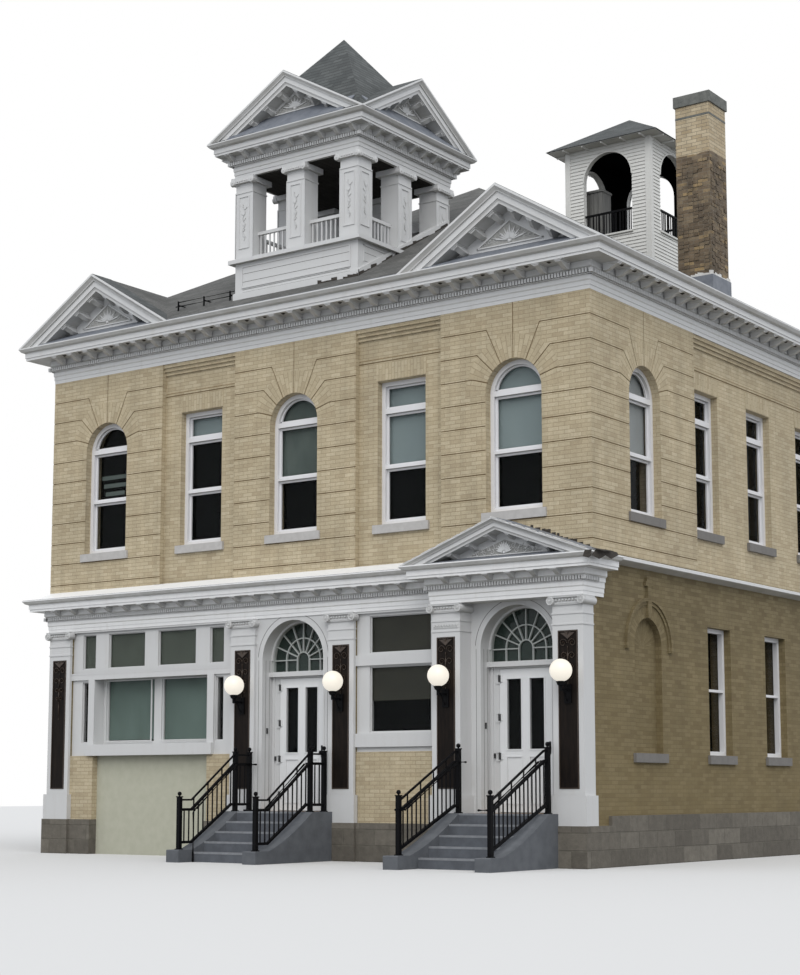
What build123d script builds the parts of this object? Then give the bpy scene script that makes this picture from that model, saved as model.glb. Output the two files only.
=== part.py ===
from build123d import *
import os

# Town hall: two storeys of tan brick over a white timber street front.
# Millimetres, +Z up, front face on y = 0 looking to -Y, x = 0 on the middle of the front,
# z = 0 at the foot of the entrance stairs, the lowest ground that the building meets.

# Plan of the building
WIDTH = 12230
DEPTH = 13000
WALL = 400
CORNER_PAVILION = 2900
MIDDLE_PAVILION = 2800
SIDE_PAVILION = 3650
RELIEF = 100
HALF = WIDTH / 2
RECESS = (WIDTH - 2 * CORNER_PAVILION - MIDDLE_PAVILION) / 2
CORNER_MID = HALF - CORNER_PAVILION / 2
RECESS_MID = MIDDLE_PAVILION / 2 + RECESS / 2

# Entrance stairs
RISERS = 5
RISE = 167
TREAD = 280
STAIR_CLEAR = 1400
CHEEK = 280
LANDING_OUT = 650
CHEEK_FLAT = 340
CHEEK_NOSE = 210
CHEEK_OUT = LANDING_OUT + (RISERS - 1) * TREAD + 550
RAIL = 45
POST = 70
RAIL_TALL = 1000
FRONT_POST_DROP = 85
BALUSTER = 18

# Levels, each from the one below
FLOOR = RISERS * RISE
FLOOR_SLAB = 185
FRONT_PLINTH = FLOOR - FLOOR_SLAB
PLINTH_STEP = 150
SIDE_PLINTH = FRONT_PLINTH + PLINTH_STEP
PLINTH_OUT = 60
LEAF_LIFT = 10
LEAF_TALL = 2330
TRANSOM_FOOT = FLOOR + LEAF_LIFT + LEAF_TALL + 35
TRANSOM_TOP = TRANSOM_FOOT + 85
DOOR_HALF = 690
DOOR_SPRING = TRANSOM_TOP + 210
CAPITAL_TOP = DOOR_SPRING + DOOR_HALF + 55
CAPITAL_TALL = 150
CAPITAL_FOOT = CAPITAL_TOP - CAPITAL_TALL
LOWER_TOP = CAPITAL_TOP + 630
FLASHING_TALL = 160
UPPER_FLOOR = LOWER_TOP + 20
UPPER_SLAB = 220
LOWER_SPLIT = LOWER_TOP + 120
SILL_TOP = LOWER_SPLIT + 745
ARCH_TALL = 2545
FLAT_TALL = 2535
FRIEZE_FOOT = SILL_TOP + 3498
WALL_TOP = FRIEZE_FOOT + 687

# Upper windows
SILL_TALL = 150
SILL_OUT = 55
SILL_SIDE = 78
ARCH_WIDE = 1090
FLAT_WIDE = 1020
FRAME_WIDE = 75
FRAME_DEEP = 90
FRAME_BACK = 130
FRAME_BAR = 90
BAR_LIFT = 1975
RAIL_LIFT = 1000
RAIL_BAR = 45
GLASS = 12
CORBEL = 68
SIDE_ARCH = 1800

# Windows of the ground floor at the sides and back
LOW_WIDE = 900
LOW_SILL = 1000
LOW_TALL = 2240

# Blind niche in each side wall
NICHE_HALF = 467
NICHE_DEEP = 115
NICHE_FOOT = SIDE_PLINTH + LOW_SILL
NICHE_SPRING = LOWER_TOP - 1317
HOOD_IN = 690
HOOD_OUT = 800
HOOD_FACE = 50
KEY_WIDE = 120
KEY_CAP = 270

# Street front: pilasters, from left to right
PILASTER = 560
PORTICO = 2880
PORTICO_OUT = 330
FLAT_OUT = 60
END_STRIP = 65
PILASTER_MIDS = [-HALF + END_STRIP + PILASTER / 2, -1100, 1130,
                 HALF - PORTICO + PILASTER / 2, HALF - PILASTER / 2]
PILASTER_OUT = [FLAT_OUT, FLAT_OUT, FLAT_OUT, PORTICO_OUT, PORTICO_OUT]
BASE_TALL = 470
BASE_OUT = 45
CAPITAL_OUT = 70
NECKS = [145, 315]
NECK = 24
PANEL_WIDE = 365
PANEL_LIFT = 570
PANEL_DROP = 400
PANEL_SINK = 18

# Doors
DOOR_MIDS = [(PILASTER_MIDS[1] + PILASTER_MIDS[2]) / 2, (PILASTER_MIDS[3] + PILASTER_MIDS[4]) / 2]
DOOR_PLANE = 270
LEAF_WIDE = 1000
LEAF_THICK = 50
LEAF_SHIFT = 0
LEAF_GAP = 6
HINGE_R = 9
HINGE_OUT = 15
HINGE_TALL = 110
HINGE_KNUCKLE = 30
HINGE_PLAY = 0.3
HINGES = 4
HINGE_FOOT = 275
HINGE_HEAD = 156
HINGE_STEP = (LEAF_TALL - HINGE_FOOT - HINGE_HEAD) / (HINGES - 1)
TRANSOM_OUT = 90
LIGHT_WIDE = 270
LIGHT_LIFT = 1020
LIGHT_HEAD = 165
LIGHT_TALL = LEAF_TALL - LIGHT_LIFT - LIGHT_HEAD
LIGHT_GAP = 165
FAN_DEEP = 60
FAN_RIM = 40
FAN_RINGS = [385, 136]
FAN_BAR = 20

# Shopfront windows
BAY_A = [PILASTER_MIDS[0] + PILASTER / 2, PILASTER_MIDS[1] - PILASTER / 2]
BAY_A_MID = sum(BAY_A) / 2
BAY_C = [PILASTER_MIDS[2] + PILASTER / 2, PILASTER_MIDS[3] - PILASTER / 2]
BAY_C_MID = sum(BAY_C) / 2
SHOP_SILL_FOOT = FRONT_PLINTH + 1200
SHOP_SILL_TOP = SHOP_SILL_FOOT + 210
SHOP_TOP = CAPITAL_TOP
SHOP_HEAD = SHOP_TOP - 80
SHOP_BAR_FOOT = SHOP_SILL_TOP + 1240
SHOP_BAR_TOP = SHOP_BAR_FOOT + 130
SHOP_FRONT = 40
SHOP_BACK = 160
SHOP_DEEP = 330
SHOP_POST = 160
SHOP_EDGE = 255
SHOP_OUTER = 340
SHOP_HALF = (BAY_A[1] - BAY_A[0]) / 2
SHOP_RECESS = SHOP_HALF - SHOP_EDGE - SHOP_OUTER - 20
TOP_LIGHTS = [(170, SHOP_RECESS - 325), (SHOP_HALF - SHOP_EDGE - SHOP_OUTER, SHOP_HALF - SHOP_EDGE)]
SIDE_LIGHT = (SHOP_RECESS + SHOP_POST + 15, SHOP_HALF - SHOP_EDGE)
LOW_LIGHT = (120, SHOP_RECESS - 120)
LIGHT_C = (BAY_C[1] - BAY_C[0]) / 2 - SHOP_EDGE - 18
PANEL_BACK = 130

# Cornices
LOWER_OUT = 400
MAIN_OUT = 540
PITCH = 0.579
ROOF_IN = 10
ROOF_THICK = 150
PEDIMENT_HALF = 2000
PEDIMENT_RISE = 1225
RAKE_TALL = 320
PORTICO_RISE = 670
PORTICO_RAKE = 190
MODILLION = 110
MODILLION_TALL = 85
MODILLION_STEP = 428
LOW_MODILLION_STEP = 459
STRING_OUT = 190

# Cupola over the middle pavilion
CUPOLA = 2860
CUPOLA_MID_Y = CUPOLA / 2
CUPOLA_BASE_TOP = WALL_TOP + 1045
CUPOLA_PIER = 400
CUPOLA_PIER_TOP = CUPOLA_BASE_TOP + 1582
CUPOLA_TOP = CUPOLA_PIER_TOP + 633
CUPOLA_OUT = 400
CUPOLA_APEX = CUPOLA_TOP + 2250
CUPOLA_ROOF_HALF = 1737
CUPOLA_WALL = 120
CUPOLA_LIP = 100
CUPOLA_LIP_TALL = 75
CUPOLA_RISE = 1050
CUPOLA_RAKE = 270
CUPOLA_CAP = 70
CUPOLA_CAP_TALL = 115
CUPOLA_NECK = 302
CUPOLA_RAIL = 535
SKIRT = 110

# Bell turret
TURRET = 2010
TURRET_X = 2035
TURRET_Y = 9000
TURRET_LIFT = 2850
TURRET_FLOOR = WALL_TOP + TURRET_LIFT
TURRET_OPEN_FOOT = TURRET_FLOOR + 80
TURRET_ARCH = 1165
TURRET_SPRING = TURRET_OPEN_FOOT + 1237
TURRET_EAVE = TURRET_SPRING + TURRET_ARCH / 2 + 220
TURRET_APEX = TURRET_EAVE + 790
TURRET_OVER = 330
TURRET_EAVE_TALL = 60
TURRET_WALL = 110
TURRET_RAIL = 520

# Chimney
CHIMNEY = 700
CHIMNEY_X = 5435
CHIMNEY_Y = 5530
CHIMNEY_TALL = 4160
CHIMNEY_TOP = WALL_TOP + CHIMNEY_TALL
CHIMNEY_CAP = 210
CHIMNEY_CAP_OUT = 30
FLUE_WALL = 200

# Middle of the whole building's box along Y, rear cornice to stair foot
BOX_MID = (DEPTH + MAIN_OUT - CHEEK_OUT) / 2

# Lamps
GLOBE_R = 178
GLOBE_LIFT = 2407
GLOBE_Z = FRONT_PLINTH + GLOBE_LIFT
GLOBE_OUT = 225


def block(x0, x1, y0, y1, z0, z1):
    return Pos((x0 + x1) / 2, (y0 + y1) / 2, (z0 + z1) / 2) * Box(x1 - x0, y1 - y0, z1 - z0)


def across(points, x0, x1):
    """A (y, z) outline carried from x0 to x1."""
    face = make_face(Polyline(*[(x0, y, z) for y, z in points], close=True))
    return extrude(face, amount=x1 - x0, dir=(1, 0, 0))


def along(points, y0, y1):
    """An (x, z) outline carried from y0 to y1."""
    face = make_face(Polyline(*[(x, y0, z) for x, z in points], close=True))
    return extrude(face, amount=y1 - y0, dir=(0, 1, 0))


def upward(points, z0, z1):
    face = make_face(Polyline(*[(x, y, z0) for x, y in points], close=True))
    return extrude(face, amount=z1 - z0, dir=(0, 0, 1))


def arched(mid, half, foot, spring, y0, y1):
    """A round-headed block through a wall that faces along Y."""
    head = Pos(mid, (y0 + y1) / 2, spring) * Rot(90, 0, 0) * Cylinder(half, y1 - y0)
    head &= block(mid - half - 1, mid + half + 1, y0, y1, spring, spring + half + 1)
    return block(mid - half, mid + half, y0, y1, foot, spring) + head


def save(name, solids):
    """Writes one node, moved back so that the building stands on the middle of its box."""
    items = solids if isinstance(solids, list) else [solids]
    found = []
    for item in items:
        found += list((Pos(0, -BOX_MID, 0) * item).solids())
    export_step(found[0] if len(found) == 1 else Compound(found), "parts/" + name + ".step")


def front_openings():
    """Windows of the upper front: middle, kind, set-back of the wall face."""
    arches = [(x, "arch", 0) for x in (-CORNER_MID, 0, CORNER_MID)]
    flats = [(x, "flat", RELIEF) for x in (-RECESS_MID, RECESS_MID)]
    return arches + flats


def window_void(mid, kind, y0, y1, inset=0):
    foot = SILL_TOP + inset
    if kind == "arch":
        half = ARCH_WIDE / 2 - inset
        return arched(mid, half, foot, SILL_TOP + ARCH_TALL - ARCH_WIDE / 2, y0, y1)
    half = FLAT_WIDE / 2 - inset
    return block(mid - half, mid + half, y0, y1, foot, SILL_TOP + FLAT_TALL - inset)


def window_set(mid, kind, face):
    """Frame, glass and sill of one upper window, as it stands in the front wall."""
    y0 = face + FRAME_BACK
    ring = window_void(mid, kind, y0, y0 + FRAME_DEEP)
    ring -= window_void(mid, kind, y0 - 1, y0 + FRAME_DEEP + 1, FRAME_WIDE)
    half = (ARCH_WIDE if kind == "arch" else FLAT_WIDE) / 2
    for lift, tall in ((BAR_LIFT, FRAME_BAR), (RAIL_LIFT, RAIL_BAR)):
        z = SILL_TOP + lift
        reach = half - FRAME_WIDE / 2
        ring += block(mid - reach, mid + reach, y0, y0 + FRAME_DEEP, z, z + tall)
    pane = window_void(mid, kind, y0 + FRAME_DEEP, y0 + FRAME_DEEP + GLASS)
    sill = block(mid - half - SILL_SIDE, mid + half + SILL_SIDE, face - SILL_OUT, face,
                 SILL_TOP - SILL_TALL, SILL_TOP)
    return ring, pane, sill


def foundation():
    x = HALF + PLINTH_OUT
    y1 = DEPTH + PLINTH_OUT
    ring = block(-x, x, -PLINTH_OUT, y1, 0, FRONT_PLINTH)
    ring += block(-x, x, WALL, y1, 0, SIDE_PLINTH)
    ring -= block(-HALF + WALL, HALF - WALL, WALL, DEPTH - WALL, -1, SIDE_PLINTH + 1)
    porch = block(PILASTER_MIDS[3] - PILASTER / 2 - PLINTH_OUT, x,
                  -PORTICO_OUT - PLINTH_OUT, -PLINTH_OUT, 0, FRONT_PLINTH)
    reach = PILASTER / 2 + PLINTH_OUT
    for mid, out in list(zip(PILASTER_MIDS, PILASTER_OUT))[:3]:
        porch += block(max(mid - reach, -x), mid + reach, -out - PLINTH_OUT, -PLINTH_OUT, 0, FRONT_PLINTH)
    x0, x1 = stucco_span()
    return ring + porch - block(x0, x1, -PLINTH_OUT - 1, WALL + 1, -1, FRONT_PLINTH + 1)


def ground_floor():
    slab = block(-HALF + WALL, HALF - WALL, WALL, DEPTH - WALL, FLOOR - FLOOR_SLAB, FLOOR)
    for mid, y0 in zip(DOOR_MIDS, (-PLINTH_OUT, -PORTICO_OUT - PLINTH_OUT)):
        slab += block(mid - DOOR_HALF, mid + DOOR_HALF, y0, WALL, FRONT_PLINTH, FLOOR)
    return slab


def upper_floor():
    return block(-HALF + WALL, HALF - WALL, WALL, DEPTH - WALL, UPPER_FLOOR - UPPER_SLAB, UPPER_FLOOR)


def front_frame():
    """Brick piers behind the pilasters, and the beam over the street front."""
    beam = block(-HALF, HALF, 0, WALL, SHOP_TOP, LOWER_SPLIT)
    for mid in PILASTER_MIDS:
        x0 = max(-HALF, mid - PILASTER / 2)
        x1 = min(HALF, mid + PILASTER / 2)
        if mid == PILASTER_MIDS[0]:
            x0 = -HALF
        beam += block(x0, x1, 0, WALL, FRONT_PLINTH, SHOP_TOP)
    return beam


def lower_window_void(mid, y0, y1, inset=0):
    half = LOW_WIDE / 2 - inset
    foot = SIDE_PLINTH + LOW_SILL
    return block(mid - half, mid + half, y0, y1, foot + inset, foot + LOW_TALL - inset)


def niche_hood():
    """Moulding over the blind niche, with a slim keystone and its cap."""
    spring = NICHE_SPRING
    step = (HOOD_OUT - HOOD_IN) / 2
    hood = arched(SIDE_ARCH, HOOD_OUT, spring - 75, spring, -HOOD_FACE, 0)
    hood -= arched(SIDE_ARCH, HOOD_IN + step, spring - 76, spring, -HOOD_FACE - 1, -HOOD_FACE / 2)
    hood -= arched(SIDE_ARCH, HOOD_IN, spring - 76, spring, -HOOD_FACE - 1, 1)
    top = spring + NICHE_HALF
    hood += block(SIDE_ARCH - KEY_WIDE / 2, SIDE_ARCH + KEY_WIDE / 2, -HOOD_FACE, 0, top, top + 530)
    hood += block(SIDE_ARCH - KEY_CAP / 2, SIDE_ARCH + KEY_CAP / 2, -HOOD_FACE, 0, top + 530, top + 600)
    hood += block(SIDE_ARCH - KEY_CAP / 3, SIDE_ARCH + KEY_CAP / 3, -HOOD_FACE, 0, top + 600, top + 670)
    return hood


SIDE_LOWER = [SIDE_PAVILION + 800, DEPTH / 2 + 300, DEPTH - SIDE_PAVILION - 350, DEPTH - SIDE_ARCH]


def side_lower_wall():
    """The right-hand wall of the ground floor, made as a front and then turned."""
    wall = block(WALL, DEPTH - WALL, 0, WALL, SIDE_PLINTH, LOWER_SPLIT)
    wall -= arched(SIDE_ARCH, NICHE_HALF, NICHE_FOOT, NICHE_SPRING, -1, NICHE_DEEP)
    wall += niche_hood()
    for mid in SIDE_LOWER:
        wall -= lower_window_void(mid, -1, WALL + 1)
    return wall


def niche_sill():
    half = NICHE_HALF + 95
    z = NICHE_FOOT
    return block(SIDE_ARCH - half, SIDE_ARCH + half, -SILL_OUT, 0, z - SILL_TALL, z)


def side_place(shape, side):
    """Stands a wall made along X, face at y = 0, on the right (1) or left (-1) side."""
    standing = Pos(HALF, 0, 0) * Rot(0, 0, 90) * shape
    if side < 0:
        standing = mirror(standing, Plane.YZ)
    return standing


def rear_place(shape):
    return Pos(0, DEPTH, 0) * Rot(0, 0, 180) * shape


REAR_MIDS = [-CORNER_MID, -RECESS_MID, 0, RECESS_MID, CORNER_MID]


def rear_wall():
    wall = block(-HALF, HALF, 0, WALL, SIDE_PLINTH, WALL_TOP)
    for mid in REAR_MIDS:
        wall -= lower_window_void(mid, -1, WALL + 1)
        wall -= window_void(mid, "flat", -1, WALL + 1)
    return rear_place(wall)


SIDE_ARCHES = [SIDE_ARCH, DEPTH - SIDE_ARCH]
SIDE_FLATS = [SIDE_PAVILION + 625, DEPTH / 2, DEPTH - SIDE_PAVILION - 625]


def recess_slab(x0, x1):
    """A recessed bay: thinner wall with three stepped courses under the frieze."""
    steps = [(WALL, LOWER_SPLIT), (RELIEF, LOWER_SPLIT)]
    z = FRIEZE_FOOT - 3 * CORBEL
    for k in range(3):
        y = RELIEF - (k + 1) * RELIEF / 3
        steps += [(y + RELIEF / 3, z + k * CORBEL), (y, z + k * CORBEL)]
    steps += [(0, WALL_TOP), (WALL, WALL_TOP)]
    return across(steps, x0, x1)


def pavilion_walls():
    walls = []
    for sign in (-1, 1):
        x0, x1 = sorted((sign * HALF, sign * (HALF - CORNER_PAVILION)))
        front = block(x0, x1, 0, WALL, LOWER_SPLIT, WALL_TOP)
        front -= window_void(sign * CORNER_MID, "arch", -1, WALL + 1)
        side = block(WALL, SIDE_PAVILION, 0, WALL, LOWER_SPLIT, WALL_TOP)
        side -= window_void(SIDE_ARCHES[0], "arch", -1, WALL + 1)
        walls.append(front + side_place(side, sign))
        back = block(DEPTH - SIDE_PAVILION, DEPTH - WALL, 0, WALL, LOWER_SPLIT, WALL_TOP)
        back -= window_void(SIDE_ARCHES[1], "arch", -1, WALL + 1)
        walls.append(side_place(back, sign))
    middle = block(-MIDDLE_PAVILION / 2, MIDDLE_PAVILION / 2, 0, WALL, LOWER_SPLIT, WALL_TOP)
    walls.append(middle - window_void(0, "arch", -1, WALL + 1))
    return walls


def recess_walls():
    walls = []
    for sign in (-1, 1):
        x0, x1 = sorted((sign * MIDDLE_PAVILION / 2, sign * (HALF - CORNER_PAVILION)))
        walls.append(recess_slab(x0, x1) - window_void(sign * RECESS_MID, "flat", -1, WALL + 1))
        side = recess_slab(SIDE_PAVILION, DEPTH - SIDE_PAVILION)
        for mid in SIDE_FLATS:
            side -= window_void(mid, "flat", -1, WALL + 1)
        walls.append(side_place(side, sign))
    return walls


def all_windows():
    """Frames, glass and sills of the upper storey, front first."""
    front = [window_set(*spec) for spec in front_openings()]
    others = []
    for sign in (-1, 1):
        for mid in SIDE_ARCHES:
            others.append([side_place(s, sign) for s in window_set(mid, "arch", 0)])
        for mid in SIDE_FLATS:
            others.append([side_place(s, sign) for s in window_set(mid, "flat", RELIEF)])
    for mid in REAR_MIDS:
        others.append([rear_place(s) for s in window_set(mid, "flat", 0)])
    return front, others


def lower_window_set(mid):
    y0 = FRAME_BACK
    half = LOW_WIDE / 2
    frame = lower_window_void(mid, y0, y0 + FRAME_DEEP)
    frame -= lower_window_void(mid, y0 - 1, y0 + FRAME_DEEP + 1, FRAME_WIDE)
    foot = SIDE_PLINTH + LOW_SILL
    z = foot + LOW_TALL / 2
    frame += block(mid - half + 20, mid + half - 20, y0, y0 + FRAME_DEEP, z, z + RAIL_BAR)
    pane = lower_window_void(mid, y0 + FRAME_DEEP, y0 + FRAME_DEEP + GLASS)
    sill = block(mid - half - SILL_SIDE, mid + half + SILL_SIDE, -SILL_OUT, 0, foot - SILL_TALL, foot)
    return frame, pane, sill


def lower_windows():
    sets = []
    for sign in (-1, 1):
        for mid in SIDE_LOWER:
            sets.append([side_place(s, sign) for s in lower_window_set(mid)])
    for mid in REAR_MIDS:
        sets.append([rear_place(s) for s in lower_window_set(mid)])
    return sets


def pilaster(mid, out):
    """Timber pilaster with a base block, two neck bands and a sunk panel."""
    half = PILASTER / 2
    right = min(mid + half + BASE_OUT, HALF + BASE_OUT)
    post = block(mid - half, mid + half, -out, 0, FRONT_PLINTH, CAPITAL_FOOT)
    post += block(mid - half - BASE_OUT, right, -out - BASE_OUT, 0, FRONT_PLINTH, FRONT_PLINTH + BASE_TALL)
    for drop in NECKS:
        z = CAPITAL_FOOT - drop
        post += block(mid - half - 12, mid + half + 12, -out - 12, 0, z, z + NECK)
    return post - panel(mid, out + 1) - panel(mid, out)


def panel(mid, out):
    half = PANEL_WIDE / 2
    z0 = FRONT_PLINTH + PANEL_LIFT
    return block(mid - half, mid + half, -out, -out + PANEL_SINK, z0, CAPITAL_FOOT - PANEL_DROP)


def capital(mid, out):
    """Ionic capital: a flat abacus on two scrolls."""
    half = PILASTER / 2
    tall = CAPITAL_TOP - CAPITAL_FOOT
    body = block(mid - half, mid + half, -out - 25, 0, CAPITAL_FOOT, CAPITAL_TOP)
    body += block(mid - half - 30, mid + half + 30, -out - CAPITAL_OUT, 0, CAPITAL_TOP - 35, CAPITAL_TOP)
    for sign in (-1, 1):
        roll = Pos(mid + sign * half, -(out + CAPITAL_OUT) / 2, CAPITAL_FOOT + tall * 0.45)
        body += roll * Rot(90, 0, 0) * Cylinder(tall * 0.45, out + CAPITAL_OUT)
    return body


def door_bay(k):
    """Left and right edges of the bay that door k stands in."""
    left = PILASTER_MIDS[1 + 2 * k] + PILASTER / 2
    right = PILASTER_MIDS[2 + 2 * k] - PILASTER / 2
    return left, right


def door_jambs():
    solids = []
    for k, mid in enumerate(DOOR_MIDS):
        left, right = door_bay(k)
        solids.append(block(left, mid - DOOR_HALF, 0, WALL, FRONT_PLINTH, TRANSOM_TOP))
        solids.append(block(mid + DOOR_HALF, right, 0, WALL, FRONT_PLINTH, TRANSOM_TOP))
    return solids


def door_arches():
    solids = []
    for k, mid in enumerate(DOOR_MIDS):
        left, right = door_bay(k)
        head = block(left, right, 0, WALL, TRANSOM_TOP, SHOP_TOP)
        solids.append(head - arched(mid, DOOR_HALF, TRANSOM_TOP - 1, DOOR_SPRING, -1, WALL + 1))
    return solids


def hinge_heights():
    return [FLOOR + LEAF_LIFT + HINGE_FOOT + k * HINGE_STEP for k in range(HINGES)]


def door_frame(mid):
    """Frame round the leaf, with the bar under the fanlight."""
    y0 = DOOR_PLANE
    y1 = WALL
    leaf = mid + LEAF_SHIFT
    x0 = leaf - LEAF_WIDE / 2 - LEAF_GAP
    x1 = leaf + LEAF_WIDE / 2 + LEAF_GAP
    frame = block(mid - DOOR_HALF, mid + DOOR_HALF, y0, y1, FLOOR, TRANSOM_TOP)
    frame -= block(x0, x1, y0 - 1, y1 + 1, FLOOR - 1, FLOOR + LEAF_LIFT + LEAF_TALL + LEAF_GAP)
    frame += block(mid - DOOR_HALF, mid + DOOR_HALF, y0 - TRANSOM_OUT, y0, TRANSOM_FOOT, TRANSOM_TOP)
    pin_x = leaf - LEAF_WIDE / 2
    for z in hinge_heights():
        for end in (z + HINGE_TALL / 2 + HINGE_PLAY, z - HINGE_TALL / 2 - HINGE_PLAY - HINGE_KNUCKLE):
            frame += Pos(pin_x, y0 - HINGE_OUT, end + HINGE_KNUCKLE / 2) * Cylinder(HINGE_R, HINGE_KNUCKLE)
            frame += block(pin_x - 60, pin_x - LEAF_GAP, y0 - HINGE_OUT, y0, end, end + HINGE_KNUCKLE)
    return frame


def fanlight_glass(mid):
    y0 = DOOR_PLANE + FAN_DEEP
    return arched(mid, DOOR_HALF, TRANSOM_TOP, DOOR_SPRING, y0, y0 + GLASS)


def fanlight_bars(mid):
    """Rim, two rings and the rays of the fanlight."""
    y0 = DOOR_PLANE
    y1 = DOOR_PLANE + FAN_DEEP
    bars = arched(mid, DOOR_HALF, TRANSOM_TOP, DOOR_SPRING, y0, y1)
    bars -= arched(mid, DOOR_HALF - FAN_RIM, TRANSOM_TOP - 1, DOOR_SPRING, y0 - 1, y1 + 1)
    for r in FAN_RINGS:
        ring = arched(mid, r + FAN_BAR / 2, TRANSOM_TOP, DOOR_SPRING, y0 + 20, y1)
        bars += ring - arched(mid, r - FAN_BAR / 2, TRANSOM_TOP - 1, DOOR_SPRING, y0, y1 + 1)
    hub = FAN_RINGS[-1]
    reach = DOOR_HALF - FAN_RIM / 2 - hub
    for k in range(9):
        ray = Pos(hub + reach / 2, 0, 0) * Box(reach, y1 - y0 - 20, FAN_BAR)
        bars += Pos(mid, (y0 + 20 + y1) / 2, DOOR_SPRING) * Rot(0, -22.5 * k, 0) * ray
    return bars


def door_leaf(mid):
    """One leaf with two tall lights over two panels, and hinges on its left edge."""
    leaf = mid + LEAF_SHIFT
    x0 = leaf - LEAF_WIDE / 2
    y0 = DOOR_PLANE
    z0 = FLOOR + LEAF_LIFT
    body = block(x0, x0 + LEAF_WIDE, y0, y0 + LEAF_THICK, z0, z0 + LEAF_TALL)
    pin_y = y0 - HINGE_OUT
    panes = []
    foot = z0 + LIGHT_LIFT
    for sign in (-1, 1):
        c = leaf + sign * (LIGHT_GAP + LIGHT_WIDE) / 2
        left = c - LIGHT_WIDE / 2
        right = c + LIGHT_WIDE / 2
        body -= block(left, right, y0 - 1, y0 + LEAF_THICK + 1, foot, foot + LIGHT_TALL)
        panes.append(block(left, right, y0 + 20, y0 + 30, foot, foot + LIGHT_TALL))
        body -= block(left, right, y0 - 1, y0 + 8, z0 + 150, foot - 130)
    for z in hinge_heights():
        body += Pos(x0, pin_y, z) * Cylinder(HINGE_R, HINGE_TALL)
        body += block(x0 + 1, x0 + 60, pin_y, y0, z - HINGE_TALL / 2, z + HINGE_TALL / 2)
    return body, panes


def both_sides(mid, light):
    """A light given from the middle of its bay, and its mirror image."""
    lo, hi = light
    return [(mid + lo, mid + hi), (mid - hi, mid - lo)]


def shop_frame_a():
    """Frame of the wide shopfront: top lights, deep-set lower lights between two posts."""
    a0, a1 = BAY_A
    mid = BAY_A_MID
    y0, y1 = SHOP_FRONT, SHOP_BACK
    rim = 60
    r = SHOP_RECESS
    frame = block(a0, a1, y0, y1, SHOP_SILL_FOOT, SHOP_TOP)
    for light in TOP_LIGHTS:
        for x0, x1 in both_sides(mid, light):
            frame -= block(x0, x1, y0 - 1, y1 + 1, SHOP_BAR_TOP + 80, SHOP_HEAD)
    for x0, x1 in both_sides(mid, SIDE_LIGHT):
        frame -= block(x0, x1, y0 - 1, y1 + 1, SHOP_SILL_TOP + 40, SHOP_BAR_FOOT - 40)
    frame -= block(mid - r, mid + r, y0 - 1, y1 + 1, SHOP_SILL_TOP, SHOP_BAR_FOOT)
    frame += block(mid - r - rim, mid + r + rim, y1, SHOP_DEEP, SHOP_SILL_TOP - rim, SHOP_BAR_FOOT + rim)
    frame -= block(mid - r, mid + r, y1 - 1, SHOP_DEEP - rim, SHOP_SILL_TOP, SHOP_BAR_FOOT)
    for x0, x1 in both_sides(mid, LOW_LIGHT):
        frame -= block(x0, x1, y1, SHOP_DEEP + 1, SHOP_SILL_TOP + rim, SHOP_BAR_FOOT - 20)
    reach = r + SHOP_POST
    frame += block(mid - reach, mid + reach, -FLAT_OUT, y0, SHOP_SILL_FOOT, SHOP_SILL_TOP)
    for x0, x1 in both_sides(mid, (r, reach)):
        frame += block(x0, x1, 0, y0, SHOP_SILL_TOP, SHOP_BAR_FOOT)
    return frame + block(a0, a1, 0, y0, SHOP_BAR_FOOT, SHOP_BAR_TOP)


def shop_frame_c():
    c0, c1 = BAY_C
    mid = BAY_C_MID
    y0, y1 = SHOP_FRONT, SHOP_BACK
    frame = block(c0, c1, y0, y1, SHOP_SILL_FOOT, SHOP_TOP)
    frame -= block(mid - LIGHT_C, mid + LIGHT_C, y0 - 1, y1 + 1, SHOP_BAR_TOP + 100, SHOP_HEAD)
    frame -= block(mid - LIGHT_C, mid + LIGHT_C, y0 - 1, y1 + 1, SHOP_SILL_TOP + 120, SHOP_BAR_FOOT)
    frame += block(c0, c1, -20, y0, SHOP_SILL_FOOT + 80, SHOP_SILL_TOP + 100)
    return frame + block(c0, c1, 0, y0, SHOP_BAR_FOOT + 20, SHOP_BAR_TOP + 70)


def shop_glass():
    """Panes of both shopfronts, each against the middle of its frame."""
    mid = BAY_A_MID
    y = (SHOP_FRONT + SHOP_BACK) / 2
    panes = []
    for light in TOP_LIGHTS:
        for x0, x1 in both_sides(mid, light):
            panes.append(block(x0, x1, y, y + GLASS, SHOP_BAR_TOP + 80, SHOP_HEAD))
    for x0, x1 in both_sides(mid, SIDE_LIGHT):
        panes.append(block(x0, x1, y, y + GLASS, SHOP_SILL_TOP + 40, SHOP_BAR_FOOT - 40))
    back = SHOP_DEEP - 30
    for x0, x1 in both_sides(mid, LOW_LIGHT):
        panes.append(block(x0, x1, back, back + GLASS, SHOP_SILL_TOP + 60, SHOP_BAR_FOOT - 20))
    c0 = BAY_C_MID - LIGHT_C
    c1 = BAY_C_MID + LIGHT_C
    panes.append(block(c0, c1, y, y + GLASS, SHOP_BAR_TOP + 100, SHOP_HEAD))
    panes.append(block(c0, c1, y, y + GLASS, SHOP_SILL_TOP + 120, SHOP_BAR_FOOT))
    return panes


def shop_walls():
    """Brick under the shopfront windows."""
    x0, x1 = stucco_span()
    left = block(BAY_A[0], x0, 0, WALL, FRONT_PLINTH, SHOP_SILL_FOOT)
    right = block(x1, BAY_A[1], 0, WALL, FRONT_PLINTH, SHOP_SILL_FOOT)
    other = block(BAY_C[0], BAY_C[1], 20, WALL, FRONT_PLINTH, SHOP_SILL_FOOT)
    return [left, right, other]


def stucco_span():
    reach = SHOP_RECESS + 10
    return BAY_A_MID - reach, BAY_A_MID + reach


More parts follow.
